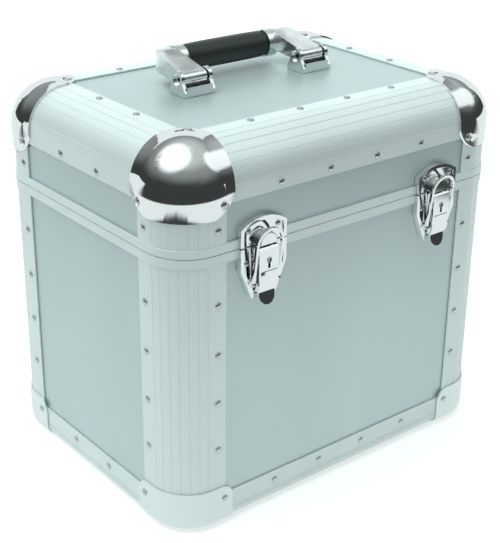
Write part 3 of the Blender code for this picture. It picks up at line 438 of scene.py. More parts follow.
for side in FLANKS.values():
    for x in row(4, EDGE_PITCH_X):
        base_places.append(((x, side * (HALF_D + GAP / 3), FOOT + BOTTOM_RIVET), (0, side, 0)))
        lid_places.append(((x, side * (HALF_D + GAP / 3), TOP - LID_RIVET_INSET), (0, side, 0)))
        lid_places.append(((x, side * (HALF_D - LID_RIVET_INSET), TOP + GAP / 3), (0, 0, 1)))
    for y in row(2, EDGE_PITCH_Y):
        base_places.append(((side * (HALF_W + GAP / 3), y, FOOT + BOTTOM_RIVET), (side, 0, 0)))
        lid_places.append(((side * (HALF_W + GAP / 3), y, TOP - LID_RIVET_INSET), (side, 0, 0)))
        lid_places.append(((side * (HALF_W - LID_RIVET_INSET), y, TOP + GAP / 3), (0, 0, 1)))
heads("base_rivets", "base", base_places, RIVET_RADIUS, RIVET_HEIGHT, RIVET_SIDES)
heads("lid_rivets", "lid", lid_places, RIVET_RADIUS, RIVET_HEIGHT, RIVET_SIDES)
heads("ball_rivets", "lid", ball_places, RIVET_RADIUS, RIVET_HEIGHT, RIVET_SIDES)
heads("cap_rivets", "base", cap_places, RIVET_RADIUS, RIVET_HEIGHT, RIVET_SIDES)


# Refined shells over the solids

def prism(outline, start, end, place):
    """Extrude a closed outline of (a, b) points from start to end, through place(a, b, t)."""
    bm = bmesh.new()
    near = [bm.verts.new(place(a, b, start)) for a, b in outline]
    far = [bm.verts.new(place(a, b, end)) for a, b in outline]
    bm.faces.new(near)
    bm.faces.new(list(reversed(far)))
    for i in range(len(outline)):
        j = (i + 1) % len(outline)
        bm.faces.new((near[i], far[i], far[j], near[j]))
    outwards(bm)
    return linked("prism", bm)


def corner_place(side_x, side_y):
    """Place (u, v, z) at a corner, u and v counted inwards from the outer planes."""
    return lambda u, v, z: (side_x * (HALF_W - u), MIDDLE_Y + side_y * (HALF_D - v), z)


def front_place(side_y, turn=lambda z: z):
    """Place (depth, z, x) on the front or the back."""
    return lambda depth, z, x: (x, MIDDLE_Y + side_y * (HALF_D - depth), turn(z))


def side_place(side_x, turn=lambda z: z):
    """Place (depth, z, y) on the left or the right."""
    return lambda depth, z, y: (side_x * (HALF_W - depth), MIDDLE_Y + y, turn(z))


def ribbed_arc():
    """The outer quarter round from (radius, 0) to (0, radius), with its grooves."""
    middle = EDGE_RADIUS * math.pi / 4
    first = middle - (GROOVE_COUNT - 1) / 2 * GROOVE_PITCH
    stations = [(0, 0)]
    steps = 4
    for i in range(GROOVE_COUNT):
        centre = first + i * GROOVE_PITCH
        start = stations[-1][0]
        flat = centre - GROOVE_WIDTH / 2 - start
        stations += [(start + flat * k / steps, 0) for k in range(1, steps + 1)]
        stations += [(centre - GROOVE_WIDTH / 5, GROOVE_DEPTH * 0.9), (centre, GROOVE_DEPTH),
                     (centre + GROOVE_WIDTH / 5, GROOVE_DEPTH * 0.9), (centre + GROOVE_WIDTH / 2, 0)]
    start = stations[-1][0]
    end = EDGE_RADIUS * math.pi / 2
    stations += [(start + (end - start) * k / 3, 0) for k in range(1, 4)]
    points = []
    for run, depth in stations:
        angle = run / EDGE_RADIUS
        reach = EDGE_RADIUS - depth
        points.append((EDGE_RADIUS - reach * math.sin(angle), EDGE_RADIUS - reach * math.cos(angle)))
    return points


def edge_outline(leg):
    """Section of a rounded edge profile: ribbed round, two flanges and two panel channels."""
    web_out = EDGE_RADIUS + SHEET
    lip_end = EDGE_RADIUS + INNER_LIP
    half = [(0, leg), (SHEET, leg), (SHEET, web_out), (LIP_OUT, web_out), (LIP_OUT, lip_end),
            (LIP_IN, lip_end), (LIP_IN, EDGE_RADIUS)]
    mirrored = [(b, a) for a, b in reversed(half)]
    inner = arc((EDGE_RADIUS, EDGE_RADIUS), EDGE_RADIUS - SHEET, math.pi, math.pi * 1.5, 16)
    return ribbed_arc() + half + inner + mirrored


def bottom_outline():
    """Section of the bottom angle profile, with two grooves low on its upright leg."""
    centre = (BOTTOM_RADIUS, BOTTOM_RADIUS)
    outer = arc(centre, BOTTOM_RADIUS, math.pi * 1.5, math.pi, 10)
    inner = arc(centre, BOTTOM_RADIUS - SHEET, math.pi, math.pi * 1.5, 10)
    grooves = []
    for height in BOTTOM_GROOVES:
        grooves += [(0, height - BOTTOM_GROOVE_WIDTH / 2), (BOTTOM_GROOVE_DEPTH, height),
                    (0, height + BOTTOM_GROOVE_WIDTH / 2)]
    legs = [(0, BOTTOM_LEG), (SHEET, BOTTOM_LEG)]
    return [(BOTTOM_LEG, 0)] + outer + grooves + legs + inner + [(BOTTOM_LEG, SHEET)]


def rounded_plan(depth, steps=24):
    """Plan outline of the case at a depth inside the outer planes."""
    radius = EDGE_RADIUS - depth
    points = []
    for side_x, side_y, start in ((1, 1, 0), (-1, 1, 1), (-1, -1, 2), (1, -1, 3)):
        centre = (side_x * (HALF_W - EDGE_RADIUS), MIDDLE_Y + side_y * (HALF_D - EDGE_RADIUS))
        points += arc(centre, radius, start * math.pi / 2, (start + 1) * math.pi / 2, steps)
    return points


def rim(seam_face, way, height):
    """A rim round the case: outer band, channel for the panels, web, and a tongue or a groove."""
    web = seam_face + way * RIM_WEB
    end = seam_face + way * height
    slack = 0 if way < 0 else TONGUE_CLEARANCE
    tip = seam_face + TONGUE_HEIGHT
    near = TONGUE_DEPTH - slack
    far = TONGUE_DEPTH + TONGUE_WIDTH + slack
    outline = [(-RIM_PROUD, seam_face), (near, seam_face), (near, tip), (far, tip), (far, seam_face),
               (LIP_IN, seam_face), (LIP_IN, end), (LIP_OUT, end), (LIP_OUT, web), (SHEET, web), (SHEET, end),
               (-RIM_PROUD, end)]
    bm = bmesh.new()
    loops = [[bm.verts.new((x, y, z)) for x, y in rounded_plan(depth)] for depth, z in outline]
    for i, loop in enumerate(loops):
        following = loops[(i + 1) % len(loops)]
        for k in range(len(loop)):
            n = (k + 1) % len(loop)
            bm.faces.new((loop[k], loop[n], following[n], following[k]))
    outwards(bm)
    return linked("rim", bm)


def shown(made, node, width=0.00025, degrees=60, smooth=28, segments=2):
    """Show a piece in place of a node, with small rounds on its sharp edges."""
    made.name = node + "_shell"
    bevelled(smoothed(made, smooth), width, degrees, segments)
    return placed(made, slot_of[node], body_of[node], [node])


def corner_cap():
    """The base's corner cap in corner coordinates: a shell with rounded lobes on three faces."""
    cap = cap_block(CAP_THICKNESS, CAP_REACH, CAP_HEIGHT, 16, 8)
    combine(cap, cap_block(GAP, CAP_REACH + OVERRUN, CAP_HEIGHT + OVERRUN, 16, 8), "DIFFERENCE")
    combine(cap, lobe_cutter(CAP_REACH, CAP_HEIGHT, lambda a, b, t: (a, t, b)), "DIFFERENCE")
    combine(cap, lobe_cutter(CAP_REACH, CAP_HEIGHT, lambda a, b, t: (t, a, b)), "DIFFERENCE")
    combine(cap, lobe_cutter(CAP_REACH, CAP_REACH, lambda a, b, t: (a, b, t)), "DIFFERENCE")
    return cap


def cap_block(offset, reach, height, steps, low_steps):
    """The base's corner with its rounded upright edge and bottom edges, grown by an offset."""
    centre = (EDGE_RADIUS, EDGE_RADIUS)
    outer = arc(centre, EDGE_RADIUS + offset, math.pi, math.pi * 1.5, steps)
    outline = outer + [(reach, -offset), (reach, reach), (-offset, reach)]
    made = prism(outline, -offset, height, lambda a, b, t: (a, b, t))
    bm = bmesh.new()
    bm.from_mesh(made.data)
    bpy.data.objects.remove(made)
    edges = []
    for edge in bm.edges:
        ends = [vert.co for vert in edge.verts]
        cut_side = all(end.x > reach - GAP for end in ends) or all(end.y > reach - GAP for end in ends)
        if all(end.z < 0 for end in ends) and not cut_side:
            edges.append(edge)
    bmesh.ops.bevel(bm, geom=edges, offset=BOTTOM_RADIUS + offset, affect="EDGES", segments=low_steps,
                    profile=0.5, offset_type="OFFSET")
    outwards(bm)
    return linked("cap", bm)


def lobe_cutter(end_a, end_b, place):
    """What lies outside a rounded lobe whose square corner would be at (end_a, end_b)."""
    centre = (end_a - CAP_LOBE_RADIUS, end_b - CAP_LOBE_RADIUS)
    round_end = arc(centre, CAP_LOBE_RADIUS, 0, math.pi / 2, 16)
    outline = [(end_a + OVERRUN, centre[1])] + round_end + [(centre[0], end_b + OVERRUN),
                                                            (end_a + OVERRUN, end_b + OVERRUN)]
    return prism(outline, -BOTTOM_RADIUS, BOTTOM_RADIUS, place)


def mapped(master, place, name):
    """Copy a solid made in corner coordinates through a place function."""
    bm = bmesh.new()
    bm.from_mesh(master.data)
    for vert in bm.verts:
        vert.co = Vector(place(*vert.co))
    outwards(bm)
    return linked(name, bm)


rim_top = SEAM - SEAM_GAP / 2
rim_low = SEAM + SEAM_GAP / 2
cap = corner_cap()
lid_posts = []
for word, sides in CORNERS.items():
    at_corner = corner_place(*sides)
    post = prism(edge_outline(POST_LEG), FOOT + BOTTOM_RADIUS + GAP, rim_top - BASE_RIM_HEIGHT - GAP, at_corner)
    shown(post, "base_post_" + word)
    lid_posts.append(prism(edge_outline(POST_LEG), rim_low + LID_RIM_HEIGHT, TOP - EDGE_END, at_corner))
    copy = mapped(cap, lambda u, v, w: at_corner(u, v, FOOT + w), "cap")
    shown(copy, "base_corner_" + word, 0.0004, 45, 30, 3).data.materials[0] = looks["cap_aluminium"]
bpy.data.objects.remove(cap)
for word, side in (("front", -1), ("back", 1)):
    hung = front_place(side, lambda drop: TOP - drop)
    shown(prism(edge_outline(LID_LEG), EDGE_END - HALF_W, HALF_W - EDGE_END, hung), "lid_edge_" + word)
    raised = front_place(side, lambda height: FOOT + height)
    reach = HALF_W - POST_LEG - GAP
    shown(prism(bottom_outline(), -reach, reach, raised), "bottom_profile_" + word, 0.0003)
for word, side in FLANKS.items():
    hung = side_place(side, lambda drop: TOP - drop)
    shown(prism(edge_outline(LID_LEG), EDGE_END - HALF_D, HALF_D - EDGE_END, hung), "lid_edge_" + word)
    raised = side_place(side, lambda height: FOOT + height)
    reach = HALF_D - POST_LEG - GAP
    shown(prism(bottom_outline(), -reach, reach, raised), "bottom_profile_" + word, 0.0003)
shown(rim(rim_top, -1, BASE_RIM_HEIGHT), "base_rim", 0.0005, 60, 28, 3)
shown(rim(rim_low, 1, LID_RIM_HEIGHT), "lid_rim_and_posts", 0.0005, 60, 28, 3)
for i, post in enumerate(lid_posts):
    post.name = f"lid_post_{i}_shell"
    placed(bevelled(smoothed(post, 28), 0.00025, 60), "profile_aluminium", "lid")
for word in FLANKS:
    refined("latch_catch_" + word, 0.0004)
    refined("latch_base_" + word, 0.0004)
    refined("latch_lever_" + word, 0.0003)
    refined("latch_bail_" + word, 0.0005)
    refined("latch_lock_" + word, 0.0002)
    refined("hinge_base_leaf_" + word, 0.0002)
    refined("hinge_lid_leaf_" + word, 0.0002)


# Ball corners

def corner_block(offset, reach, steps):
    """The lid's rounded corner in corner coordinates, grown by an offset."""
    made = block((-offset,) * 3, (reach,) * 3)
    bm = bmesh.new()
    bm.from_mesh(made.data)
    bpy.data.objects.remove(made)
    corner = min(bm.verts, key=lambda vert: sum(vert.co))
    bmesh.ops.bevel(bm, geom=list(corner.link_edges), offset=EDGE_RADIUS + offset, affect="EDGES",
                    segments=steps, profile=0.5, offset_type="OFFSET")
    outwards(bm)
    return linked("corner", bm)


def sphere(centre, radius, segments):
    """A ball about a point on the corner's diagonal."""
    bm = bmesh.new()
    bmesh.ops.create_uvsphere(bm, u_segments=segments, v_segments=segments // 2, radius=radius)
    bmesh.ops.translate(bm, verts=bm.verts[:], vec=(centre,) * 3)
    return linked("sphere", bm)


def seat_rod(axis):
    """Cutter for a flat rivet seat on one face of the ball corner."""
    bm = bmesh.new()
    place = [-BALL_SEAT_LEVEL if part else BALL_SEAT_INSET for part in axis]
    profile = [(BALL_SEAT_RADIUS, 0), (BALL_SEAT_RADIUS, BALL_RADIUS)]
    revolved(bm, profile, place, [-part for part in axis], 32)
    outwards(bm)
    return linked("rod", bm)


ball = sphere(BALL_CENTRE, BALL_RADIUS, 96)
combine(ball, block((-EDGE_RADIUS,) * 3, (BALL_REACH,) * 3), "INTERSECT")
skirt = corner_block(BALL_SKIRT, BALL_REACH, 16)
ball = combine(skirt, ball, "UNION")
combine(ball, sphere(BALL_TRIM_CENTRE, BALL_TRIM_RADIUS, 96), "INTERSECT")
combine(ball, corner_block(GAP, BALL_REACH + EDGE_RADIUS, 12), "DIFFERENCE")
for axis in ((1, 0, 0), (0, 1, 0), (0, 0, 1)):
    combine(ball, seat_rod(axis), "DIFFERENCE")
for word, (side_x, side_y) in CORNERS.items():
    bm = bmesh.new()
    bm.from_mesh(ball.data)
    for vert in bm.verts:
        vert.co = MIDDLE + Vector((side_x * (HALF_W - vert.co.x), side_y * (HALF_D - vert.co.y),
                                   TOP - vert.co.z))
    outwards(bm)
    made = bevelled(smoothed(linked(f"lid_corner_{word}_shell", bm), 28), 0.0003, 45)
    placed(made, "chrome", "lid", ["lid_corner_" + word])
bpy.data.objects.remove(ball)


# Linings

def plan(depth, radius, z, steps=10):
    """A rounded rectangle of points at a depth inside the case's outer planes."""
    points = []
    reach = (HALF_W - depth - radius, HALF_D - depth - radius)
    for side_x, side_y, start in ((1, 1, 0), (-1, 1, 1), (-1, -1, 2), (1, -1, 3)):
        quarter = math.pi / 2
        ring = arc((side_x * reach[0], side_y * reach[1]), radius, start * quarter, (start + 1) * quarter, steps)
        points += [(x, y + MIDDLE_Y, z) for x, y in ring]
    return points


def lining(name, body, node, levels):
    """Foam lining from stacked plans of (depth, radius, z)."""
    bm = bmesh.new()
    loops = [[bm.verts.new(point) for point in plan(*level)] for level in levels]
    for lower, upper in zip(loops, loops[1:]):
        for k in range(len(lower)):
            n = (k + 1) % len(lower)
            bm.faces.new((lower[k], lower[n], upper[n], upper[k]))
    bm.faces.new(loops[0])
    bm.faces.new(loops[-1])
    outwards(bm)
    made = bevelled(smoothed(linked(name, bm), 50), 0.0008, 40, 3)
    placed(made, "foam", body, [node])


low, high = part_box("base_lining")
lining_out = HALF_W - high[0]
corner_radius = EDGE_RADIUS - lining_out
lining("base_foam", "base", "base_lining", [
    (lining_out, corner_radius, low[2]), (lining_out, corner_radius, high[2]),
    (lining_out + LINING_WALL, corner_radius - LINING_WALL, high[2]),
    (lining_out + LINING_WALL, corner_radius - LINING_WALL, low[2] + LINING_WALL)])
low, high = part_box("lid_lining")
outer = [(lining_out, corner_radius, low[2])]
inner = [(lining_out + LINING_WALL, corner_radius - LINING_WALL, low[2])]
for i in range(8):
    angle = i / 7 * math.radians(70)
    for ring, radius in ((outer, corner_radius), (inner, corner_radius - LINING_WALL)):
        depth = EDGE_RADIUS - radius * math.cos(angle)
        ring.append((depth, EDGE_RADIUS - depth, TOP - EDGE_RADIUS + radius * math.sin(angle)))
lining("lid_foam", "lid", "lid_lining", list(reversed(outer)) + inner)


# Handle and feet

def turned(name, profile, place, axis, sides, look, body, cad):
    """A turned piece that stands for a node."""
    bm = bmesh.new()
    revolved(bm, profile, place, axis, sides)
    outwards(bm)
    return placed(smoothed(linked(name, bm), 35), look, body, cad)




def tangent_outline(near, near_radius, far, far_radius, steps):
    """Outline of two circles joined by their outer tangents."""
    run = math.dist(near, far)
    heading = math.atan2(far[1] - near[1], far[0] - near[0])
    spread = math.acos((near_radius - far_radius) / run)
    front = arc(far, far_radius, heading - spread, heading + spread, steps)
    back = arc(near, near_radius, heading + spread, heading - spread + 2 * math.pi, steps)
    return front + back


def rod(place, axis, radius, length, sides=40):
    """A round bar from a place along an axis."""
    bm = bmesh.new()
    revolved(bm, [(radius, 0), (radius, length)], place, axis, sides)
    outwards(bm)
    return linked("rod", bm)


def handle_arm(word, side):
    """A cast arm: knuckle, wide strap with a round outer corner, and the ring for the grip."""
    centre = side * ARM_CENTRE
    outline = tangent_outline((0, AXIS_Z), ARM_KNUCKLE, (ARM_REACH, AXIS_Z + ARM_RISE), ARM_END, 20)
    arm = prism(outline, -ARM_HALF_WIDTH, ARM_HALF_WIDTH, lambda y, z, x: (centre + x, MIDDLE_Y + y, z))
    end = ARM_REACH + ARM_END
    inside = (ARM_HALF_WIDTH - ARM_CORNER, end - ARM_CORNER)
    corner = [(ARM_HALF_WIDTH + OVERRUN, inside[1])] + arc(inside, ARM_CORNER, 0, math.pi / 2, 16)
    corner += [(inside[0], end + OVERRUN), (ARM_HALF_WIDTH + OVERRUN, end + OVERRUN)]
    combine(arm, prism(corner, TOP, AXIS_Z + ARM_REACH,
                       lambda x, y, z: (centre + side * x, MIDDLE_Y + y, z)), "DIFFERENCE")
    start = (side * (ARM_CENTRE - ARM_HALF_WIDTH + OVERRUN), MIDDLE_Y + GRIP_REACH, AXIS_Z + GRIP_RISE)
    length = ARM_CENTRE - ARM_HALF_WIDTH + OVERRUN - GRIP_HALF - GAP
    combine(arm, rod(start, (-side, 0, 0), RING_RADIUS, length), "UNION")
    reach = ARM_HALF_WIDTH + OVERRUN
    combine(arm, rod((centre - reach, MIDDLE_Y, AXIS_Z), (1, 0, 0), ARM_BORE, 2 * reach), "DIFFERENCE")
    shown(arm, "handle_arm_" + word, 0.0011, 40, 25, 4).data.materials[0] = looks["cast_chrome"]


def handle_bracket(word, side):
    """A bracket: foot with two lips and two arched ears, dished outside."""
    centre = side * ARM_CENTRE
    high = TOP + BRACKET_BASE
    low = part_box("handle_bracket_" + word)[0][2]
    length = BRACKET_HALF_LENGTH
    made = block((centre - BRACKET_HALF_WIDTH, MIDDLE_Y - length, low),
                 (centre + BRACKET_HALF_WIDTH, MIDDLE_Y + length, high))
    inner = BRACKET_HALF_WIDTH - BRACKET_EAR
    swing = math.asin(BRACKET_TOP / math.hypot(length, AXIS_Z - high))
    start = math.atan2(AXIS_Z - high, length) + swing - math.pi / 2
    ear = [(-length, low + GAP), (length, low + GAP), (length, high)]
    ear += arc((0, AXIS_Z), BRACKET_TOP, start, math.pi - start, 24) + [(-length, high)]
    for way in FLANKS.values():
        combine(made, prism(ear, inner, BRACKET_HALF_WIDTH,
                            lambda y, z, x: (centre + way * x, MIDDLE_Y + y, z)), "UNION")
        near = length - BRACKET_LIP_THICKNESS
        lip = [(way * near, high - GAP), (way * length, high - GAP), (way * length, TOP + BRACKET_LIP),
               (way * near, TOP + BRACKET_LIP)]
        combine(made, prism(lip, -inner - GAP, inner + GAP, lambda y, z, x: (centre + x, MIDDLE_Y + y, z)),
                "UNION")
    for way in FLANKS.values():
        face = (centre + way * (BRACKET_HALF_WIDTH - BRACKET_DISH_DEPTH), MIDDLE_Y, AXIS_Z)
        combine(made, rod(face, (way, 0, 0), BRACKET_DISH, BRACKET_DISH_DEPTH + OVERRUN), "DIFFERENCE")
    shown(made, "handle_bracket_" + word, 0.0006, 40, 25, 3)


for word, side in FLANKS.items():
    handle_arm(word, side)
    handle_bracket(word, side)
    half = BRACKET_HALF_WIDTH - BRACKET_DISH_DEPTH
    profile = [(HANDLE_PIN * 0.8, 0), (HANDLE_PIN, GAP), (HANDLE_PIN, half * 2 - GAP),
               (HANDLE_PIN * 0.8, half * 2)]
    turned(f"handle_pin_{word}_shell", profile, (side * ARM_CENTRE - half, MIDDLE_Y, AXIS_Z), (1, 0, 0), 32,
           "steel", "lid", ["handle_pin_" + word])
length = GRIP_HALF * 2
profile = [(GRIP_RADIUS * 0.84, 0), (GRIP_RADIUS * 0.92, 0.0004)]
for i in range(1, 24):
    share = i / 24
    profile.append((GRIP_RADIUS * (1 - 0.05 * (2 * share - 1) ** 4), share * length))
profile += [(GRIP_RADIUS * 0.92, length - 0.0004), (GRIP_RADIUS * 0.84, length)]
turned("grip_sleeve", profile, (-GRIP_HALF, MIDDLE_Y + GRIP_REACH, AXIS_Z + GRIP_RISE), (1, 0, 0), 64,
       "grip_plastic", "handle", ["handle_grip"])
for word in CORNERS:
    low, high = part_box("rubber_foot_" + word)
    radius = (high[0] - low[0]) / 2
    height = high[2] - low[2]
    profile = [(radius * 0.5, 0.0004), (radius * 0.52, 0), (radius * 0.84, 0), (radius * 0.92, 0.0004),
               (radius * 0.97, 0.0012), (radius, 0.0022), (radius, height)]
    place = ((low[0] + high[0]) / 2, (low[1] + high[1]) / 2, low[2])
    turned(f"rubber_foot_{word}_shell", profile, place, (0, 0, 1), 48, "rubber", "base", ["rubber_foot_" + word])


# Screw heads, as plain domes

lid_screws = []
base_screws = []
for word in FLANKS:
    low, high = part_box("latch_base_" + word)
    x = (low[0] + high[0]) / 2
    y = -HALF_D - LATCH_PLATE - GAP / 3
    for way in FLANKS.values():
        lid_screws.append(((x + way * CATCH_SCREW_ASIDE, y, SEAM + CATCH_SCREW_UP), (0, -1, 0)))
        base_screws.append(((x + way * BASE_SCREW_ASIDE, y, SEAM - BASE_SCREW_DOWN), (0, -1, 0)))
hinge_y = HALF_D + GAP / 3
for word in FLANKS:
    low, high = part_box("hinge_base_leaf_" + word)
    x = (low[0] + high[0]) / 2
    for along in row(3, HINGE_SCREW_PITCH):
        base_screws.append(((x + along, hinge_y, SEAM - HINGE_SCREW_OFF), (0, 1, 0)))
        lid_screws.append(((x + along, hinge_y, SEAM + HINGE_SCREW_OFF), (0, 1, 0)))
heads("base_screws", "base", base_screws, SCREW_RADIUS, SCREW_HEIGHT, SCREW_SIDES)
heads("lid_screws", "lid", lid_screws, SCREW_RADIUS, SCREW_HEIGHT, SCREW_SIDES)


# Floor, light and camera

def stage_sheet(name, corners, made):
    """A flat stage piece."""
    bm = bmesh.new()
    bm.faces.new([bm.verts.new(corner) for corner in corners])
    sheet = linked(name, bm)
    sheet.data.materials.append(made)
    return sheet


def link(tree, *pairs):
    """Join sockets in pairs."""
    for source, target in pairs:
        tree.links.new(source, target)


def maths(tree, operation, *values):
    """A math node; numbers are set and sockets are joined."""
    made = tree.nodes.new("ShaderNodeMath")
    made.operation = operation
    for i, value in enumerate(values):
        if isinstance(value, (int, float)):
            made.inputs[i].default_value = value
        else:
            tree.links.new(value, made.inputs[i])
    return made.outputs[0]


def along(tree, vector, way):
    """Dot product of a vector socket and a fixed direction."""
    made = tree.nodes.new("ShaderNodeVectorMath")
    made.operation = "DOT_PRODUCT"
    made.inputs[1].default_value = way
    tree.links.new(vector, made.inputs[0])
    return made.outputs["Value"]


def eased(tree, value, low, high, start=0.0, end=1.0):
    """A smooth step from one value to another."""
    made = tree.nodes.new("ShaderNodeMapRange")
    made.interpolation_type = "SMOOTHSTEP"
    made.inputs["From Min"].default_value = low
    made.inputs["From Max"].default_value = high
    made.inputs["To Min"].default_value = start
    made.inputs["To Max"].default_value = end
    tree.links.new(value, made.inputs["Value"])
    return made.outputs["Result"]


def emission(tree, strength, colour=(1, 1, 1)):
    """An emission shader, its strength a number or a socket."""
    made = tree.nodes.new("ShaderNodeEmission")
    made.inputs["Color"].default_value = (*colour, 1)
    if isinstance(strength, (int, float)):
        made.inputs["Strength"].default_value = strength
    else:
        tree.links.new(strength, made.inputs["Strength"])
    return made.outputs[0]


def mixed(tree, share, first, second):
    """Mix two shaders."""
    made = tree.nodes.new("ShaderNodeMixShader")
    link(tree, (share, made.inputs["Fac"]), (first, made.inputs[1]), (second, made.inputs[2]))
    return made.outputs[0]


def empty_tree(owner, output):
    """Give a world or material an empty node tree with its output."""
    owner.use_nodes = True
    owner.node_tree.nodes.clear()
    return owner.node_tree, owner.node_tree.nodes.new(output).inputs["Surface"]


# The way from the camera to the case, over the floor
AWAY = (0.629, 0.777, 0.0)
ASIDE = (0.777, -0.629, 0.0)
ROOM_COLOUR = (0.93, 1.0, 1.0)
FLOOR_LIFT = 0.45
FLOOR_WHITE = 0.95
FLOOR_DARK = 0.05
FLOOR_WHITE_END = 0.83
FLOOR_DARK_START = 0.90
FLOOR_REACH = 14.0


def floor_material():
    """A pale floor: white to the camera with the case's shadow kept, and in reflections a white
    sheet that ends a little way in front of the case."""
    made = bpy.data.materials.new("floor")
    tree, surface = empty_tree(made, "ShaderNodeOutputMaterial")
    pale = tree.nodes.new("ShaderNodeBsdfDiffuse")
    pale.inputs["Color"].default_value = (0.80, 0.81, 0.81, 1)
    path = tree.nodes.new("ShaderNodeLightPath")
    place = tree.nodes.new("ShaderNodeNewGeometry").outputs["Position"]
    reach = tree.nodes.new("ShaderNodeVectorMath")
    reach.operation = "LENGTH"
    link(tree, (place, reach.inputs[0]))
    near = eased(tree, reach.outputs["Value"], FLOOR_WHITE_END, FLOOR_DARK_START, 1.0, 0.0)
    behind = eased(tree, along(tree, place, AWAY), -0.1, 0.3)
    white = maths(tree, "MAXIMUM", near, behind)
    strength = maths(tree, "ADD", maths(tree, "MULTIPLY", white, FLOOR_WHITE - FLOOR_DARK), FLOOR_DARK)
    lifted = tree.nodes.new("ShaderNodeAddShader")
    link(tree, (pale.outputs[0], lifted.inputs[0]), (emission(tree, FLOOR_LIFT), lifted.inputs[1]))
    plain = mixed(tree, path.outputs["Is Camera Ray"], pale.outputs[0], lifted.outputs[0])
    mirror = maths(tree, "MAXIMUM", path.outputs["Is Glossy Ray"], path.outputs["Is Transmission Ray"])
    link(tree, (mixed(tree, mirror, plain, emission(tree, strength, ROOM_COLOUR)), surface))
    return made


stage_sheet("floor", [(-FLOOR_REACH, -FLOOR_REACH, 0), (FLOOR_REACH, -FLOOR_REACH, 0),
                              (FLOOR_REACH, FLOOR_REACH, 0), (-FLOOR_REACH, FLOOR_REACH, 0)], floor_material())

BACKDROP_AWAY = 1.7
BACKDROP_HALF = 2.3
BACKDROP_TOP = 1.75
BACKDROP_GLOW = 0.95
backdrop_look = bpy.data.materials.new("backdrop")
backdrop_tree, backdrop_surface = empty_tree(backdrop_look, "ShaderNodeOutputMaterial")
link(backdrop_tree, (emission(backdrop_tree, BACKDROP_GLOW, ROOM_COLOUR), backdrop_surface))
middle = Vector(AWAY) * BACKDROP_AWAY
aside = Vector(ASIDE) * BACKDROP_HALF
rise = Vector((0, 0, BACKDROP_TOP))
backdrop = stage_sheet("backdrop", [middle - aside, middle + aside, middle + aside + rise,
                                    middle - aside + rise], backdrop_look)
backdrop.visible_camera = False
backdrop.visible_shadow = False

SOFTBOX_WAY = (-0.365, 0.111, 0.924)
SOFTBOX_GLOW = 1.35
WEDGE_WAY = (0.663, -0.393, 0.637)
WEDGE_GLOW = 0.8


def studio_world():
    """White to the camera; to all else a dim room, brighter overhead, with a broad softbox and a
    smaller one at the right."""
    world = bpy.data.worlds.new("studio")
    bpy.context.scene.world = world
    tree, surface = empty_tree(world, "ShaderNodeOutputWorld")
    way = tree.nodes.new("ShaderNodeTexCoord").outputs["Generated"]
    height = along(tree, way, (0, 0, 1))
    walls = eased(tree, height, 0.15, 0.62, 0.05, 0.30)
    ceiling = eased(tree, height, 0.6, 0.95, 0.0, 0.35)
    room = maths(tree, "ADD", walls, ceiling)
    broad = eased(tree, along(tree, way, SOFTBOX_WAY), 0.76, 0.97, 0.0, SOFTBOX_GLOW)
    wedge = eased(tree, along(tree, way, WEDGE_WAY), 0.93, 0.975, 0.0, WEDGE_GLOW)
    total = maths(tree, "ADD", maths(tree, "ADD", room, broad), wedge)
    white = tree.nodes.new("ShaderNodeBackground")
    studio = tree.nodes.new("ShaderNodeBackground")
    white.inputs["Color"].default_value = (1, 1, 1, 1)
    studio.inputs["Color"].default_value = (*ROOM_COLOUR, 1)
    link(tree, (total, studio.inputs["Strength"]))
    path = tree.nodes.new("ShaderNodeLightPath")
    link(tree, (mixed(tree, path.outputs["Is Camera Ray"], studio.outputs[0], white.outputs[0]), surface))


studio_world()

OVERHEAD_PLACE = (-0.5, 0.1, 1.9)
OVERHEAD_AIM = (0, 0, 0.2)
OVERHEAD_SIZE = (1.8, 1.8)
OVERHEAD_RADIANCE = 1.3


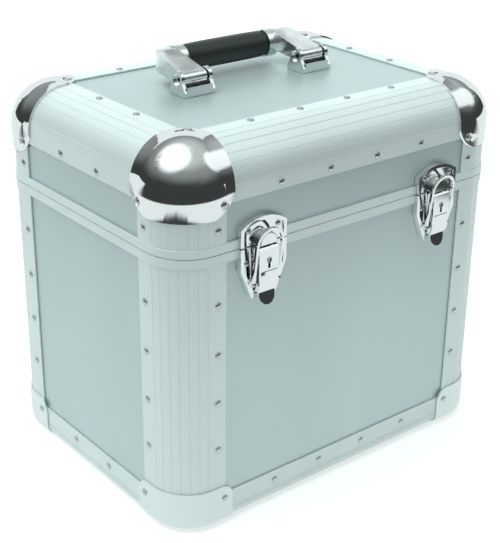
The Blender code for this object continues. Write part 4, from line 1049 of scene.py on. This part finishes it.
def softbox(name, place, target, size, radiance, colour):
    """An area lamp of a given radiance that faces a target."""
    data = bpy.data.lights.new(name, "AREA")
    data.shape = "RECTANGLE"
    data.size, data.size_y = size
    data.energy = math.pi * size[0] * size[1] * radiance
    data.color = colour
    made = bpy.data.objects.new(name, data)
    bpy.context.scene.collection.objects.link(made)
    made.location = place
    aim = Vector(target) - Vector(place)
    made.rotation_euler = aim.to_track_quat("-Z", "Y").to_euler()
    return made


overhead = softbox("overhead", OVERHEAD_PLACE, OVERHEAD_AIM, OVERHEAD_SIZE, OVERHEAD_RADIANCE, ROOM_COLOUR)
overhead.visible_glossy = False

# The camera's place was fitted to the photograph's rivets and edges
CAMERA_PLACE = (-0.6852, -0.8447, 0.6563)
CAMERA_AZIMUTH = math.radians(38.97)
CAMERA_DOWN = math.radians(24.66)
CAMERA_ROLL = math.radians(0.71)
FOCAL_PIXELS = 1212.9
PHOTO_SIZE = (500, 543)
MIDDLE_PIXEL = (248.7, 272.5)

camera_data = bpy.data.cameras.new("camera")
camera = bpy.data.objects.new("camera", camera_data)
bpy.context.scene.collection.objects.link(camera)
bpy.context.scene.camera = camera
forward = Vector((math.sin(CAMERA_AZIMUTH) * math.cos(CAMERA_DOWN),
                  math.cos(CAMERA_AZIMUTH) * math.cos(CAMERA_DOWN), -math.sin(CAMERA_DOWN)))
level = Vector((math.cos(CAMERA_AZIMUTH), -math.sin(CAMERA_AZIMUTH), 0))
upright = level.cross(forward)
right = level * math.cos(CAMERA_ROLL) + upright * math.sin(CAMERA_ROLL)
up = right.cross(forward)
facing = Matrix((right, up, -forward)).transposed().to_4x4()
camera.matrix_world = Matrix.Translation(MIDDLE + Vector(CAMERA_PLACE)) @ facing
camera_data.lens = FOCAL_PIXELS * camera_data.sensor_width / PHOTO_SIZE[1]
camera_data.shift_x = (PHOTO_SIZE[0] / 2 - MIDDLE_PIXEL[0]) / PHOTO_SIZE[1]
camera_data.shift_y = (MIDDLE_PIXEL[1] - PHOTO_SIZE[1] / 2) / PHOTO_SIZE[1]
camera_data.clip_start = 0.05

bpy.context.scene.view_settings.view_transform = "Standard"
